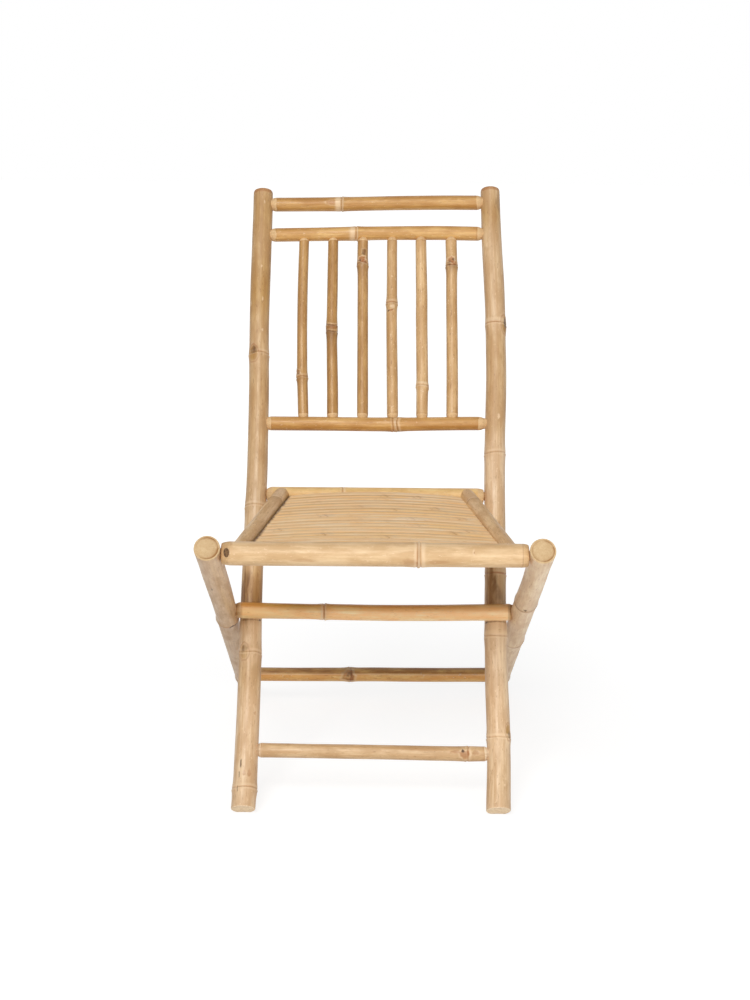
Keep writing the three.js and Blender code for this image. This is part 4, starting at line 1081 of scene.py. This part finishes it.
def make_slat(i):
    rng = np.random.default_rng(SLAT_SEED + i)
    rear, width = SLAT_REAR + SLAT_PITCH * i + SLAT_GAP / 2, SLAT_PITCH - SLAT_GAP
    S, Q = np.meshgrid(np.linspace(-1, 1, SLAT_ROWS), np.linspace(0, 1, SLAT_COLUMNS), indexing="ij")
    wander = SLAT_WOBBLE * np.sin(S * rng.uniform(1.5, 3) + rng.uniform(0, 6))
    forward = rear + Q * width + wander * np.sin(Q * math.pi)
    half = side_offset(forward) - side_radius(forward) - SLAT_END_GAP
    X = S * half + SLAT_SHIFT
    across = 2 * Q - 1
    height = SLAT_TOP + SLAT_CROWN * (1 - S * S) - SLAT_ROUND * across**2 - 0.5 * np.abs(across) ** 16
    height += rng.uniform(-0.35, 0.05) + rng.uniform(-0.3, 0.3) * across - 0.2
    height += 0.12 * np.sin(X / rng.uniform(18, 30) + rng.uniform(0, 6))
    marks = {label: np.zeros_like(X) for label in MARK_NAMES}
    knots = [(x, s) for x, depth, s in SLAT_KNOTS if rear - 0.35 <= depth < rear + SLAT_PITCH - 0.35]
    knots.append((rng.uniform(-150, 150), rng.uniform(0.1, 0.3)))
    for kx, strength in knots:
        d = X - kx
        torn = 0.5 + 0.5 * np.sin(d * 0.9 + 5 * Q + kx) * np.sin(11 * Q + d * 0.35)
        height += 0.15 * strength * bell(d, 6) * (1 - across**2)
        marks["shade"] += strength * (0.05 + 0.1 * torn) * bell(d, 9)
        marks["line"] += 0.75 * strength * torn**2 * bell(d, 8)
        marks["scar"] += 0.05 * strength * torn**8 * bell(d, 5)
        marks["pale"] += 0.5 * strength * bell(d - 10, 5)
    golden = rng.uniform(0.05, 0.7) * inside(np.abs(Q - rng.uniform(0.15, 0.6)) / rng.uniform(0.08, 0.2), 5)
    seam = rng.uniform(0.6, 1.1)
    # the seams: golden-brown edges and thin brown lines, partly the strips' own split edges, partly painted shade
    # between slats
    edges = 0.6 * seam * inside(Q / 0.12, 3), 0.2 * inside((1 - Q) / 0.04, 4)
    marks["shade"] += rng.uniform(0, 0.05) + golden + edges[0] + edges[1]
    # a pale band on the forward half of each strip, partly its own tone, partly painted light where the top faces the
    # lamps
    marks["pale"] += rng.uniform(0.1, 0.6) * inside(np.abs(Q - rng.uniform(0.6, 0.85)) / 0.14, 6)
    marks["line"] += 0.2 * seam * inside(Q / 0.06, 4) + 0.1 * inside((1 - Q) / 0.04, 4)
    marks["scar"] += 0.95 * inside((X - X[0]) / rng.uniform(1.6, 3.4), 5)  # painted shadow: a dark band at the left end, in the gap beside the left rail
    top = np.stack([X, -forward, height], -1)
    low = top[:, [-1, 0]].copy()
    low[..., 2] = (SLAT_TOP + SLAT_CROWN * (1 - S[:, [-1, 0]] ** 2)) - SLAT_THICK
    points = np.concatenate([top, low], 1)
    columns = points.shape[1]
    coords = np.stack([points[..., 1] + 40 * i, points[..., 2] * 0.3, points[..., 0]], -1)
    for label, mark in marks.items():  # the underside is bare wood
        marks[label] = np.pad(mark, ((0, 0), (0, 2)), constant_values=float(label == "cut")).reshape(-1)
    ring = np.arange(columns)
    after = (ring + 1) % columns
    starts = np.arange(points.shape[0] - 1)[:, None] * columns
    quads = np.stack([starts + ring, starts + columns + ring, starts + columns + after, starts + after], -1)
    caps = [tuple(ring.tolist()), tuple((starts[-1, 0] + columns + ring[::-1]).tolist())]
    mesh = bpy.data.meshes.new(f"seat_slat_{i + 1:02d}_strip")
    world = points.reshape(-1, 3) * MM + np.array(SEAT.translation)
    mesh.from_pydata(world.tolist(), [], quads.reshape(-1, 4).tolist() + caps)
    piece = dress_mesh(mesh, coords.reshape(-1, 3), marks)
    finish_piece(piece, SLAT, "seat", f"seat_slat_{i + 1:02d}")


for i in range(SLAT_COUNT):
    make_slat(i)
print("slats:", SLAT_COUNT)

# %% [markdown]
# Under the slats a strip runs beside each side rail and a thin culm runs down the middle. The photograph hides
# them, and they are made the plain way a chair maker would: flat split strips and a slim round culm.

# %% Strips and bearer under the slats, dowels and peg
SHADE_UNDER_SLATS = scar(160, 90, 22, 3000, 0.8, uneven=0, **FLAT)  # painted shade along the top, where the slats above shade it
LEDGER_INSET, LEDGER_ENDS = 12.5 * 1.05 + 0.3 + 6, (17, 320)  # from the side rail's axis, from the rear rail's
LEDGER_RADIUS, LEDGER_FORM = 6, (0.97, 0.5 / 6.2)  # a strip is a culm pressed flat
BEARER_ENDS, BEARER_RADIUS = (12.6, 323), 7.8
DOWEL_RADIUS, DOWEL_REACH = 6.8, {"front": 236, "rear": 199}


def level_and_depth(name):
    """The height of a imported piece's middle above the seat's frame, and its thickness, in millimetres."""
    low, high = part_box(name)
    return (high[2] + low[2]) / 2 / MM - REAR_PIVOT.z / MM, (high[2] - low[2]) / MM


for sign, name in ((-1, "left_slat_ledger"), (1, "right_slat_ledger")):
    level, depth = level_and_depth(name)
    ends = [(sign * (side_offset(d) - LEDGER_INSET), -d, level) for d in LEDGER_ENDS]
    place, length = between(SEAT, *ends)
    flat = place @ Matrix.Diagonal((LEDGER_FORM[0], LEDGER_FORM[1] * depth, 1, 1))
    girth = [(0, LEDGER_RADIUS), (length, LEDGER_RADIUS)]
    knots = [node(120, swell=0.5)]
    strip = tube(name + "_strip", flat, length, girth, knots, scars=[SHADE_UNDER_SLATS], sides=32, seed=71 + sign)
    finish_piece(strip, STRIP, "seat", name)

level, depth = level_and_depth("centre_slat_bearer")
place, length = between(SEAT, *((0, -forward, level) for forward in BEARER_ENDS))
girth = [(0, BEARER_RADIUS), (length, BEARER_RADIUS)]
bearer = tube("centre_slat_bearer_culm", place, length, girth, [node(130)], scars=[SHADE_UNDER_SLATS], sides=40, seed=73)
finish_piece(bearer, STRIP, "seat", "centre_slat_bearer")

for sign, word in ((-1, "left"), (1, "right")):
    for end, depth in (("front", SEAT_DEPTH), ("rear", 0)):
        name, reach = f"{end}_{word}_pivot_dowel", DOWEL_REACH[end]
        low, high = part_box(name)
        left, right = max(low[0] / MM, -reach), min(high[0] / MM, reach)
        place, length = between(SEAT, (left, -depth, 0), (right, -depth, 0))
        girth = [(0, DOWEL_RADIUS), (length, DOWEL_RADIUS)]
        dowel = tube(name + "_pin", place, length, girth, sides=32, seed=80 + sign)
        finish_piece(dowel, DOWEL, "seat", name)

PEG_RISE, PEG_ACROSS, PEG_RADIUS, PEG_ENDS, PEG_WIDTH = math.radians(19), -197, 6.1, (4, 16.6), 0.62
outward = Vector((0, -math.cos(PEG_RISE), math.sin(PEG_RISE)))
place, length = between(SEAT, *(Vector((PEG_ACROSS, -SEAT_DEPTH, 0)) + outward * far for far in PEG_ENDS))
narrow = place @ Matrix.Diagonal((PEG_WIDTH, 1, 1, 1))
peg = tube("dowel_peg_plug", narrow, length, [(0, PEG_RADIUS), (length, PEG_RADIUS)], sides=32, seed=90)
finish_piece(peg, PLUG, "seat", "dowel_peg")
print("small pieces: 8")
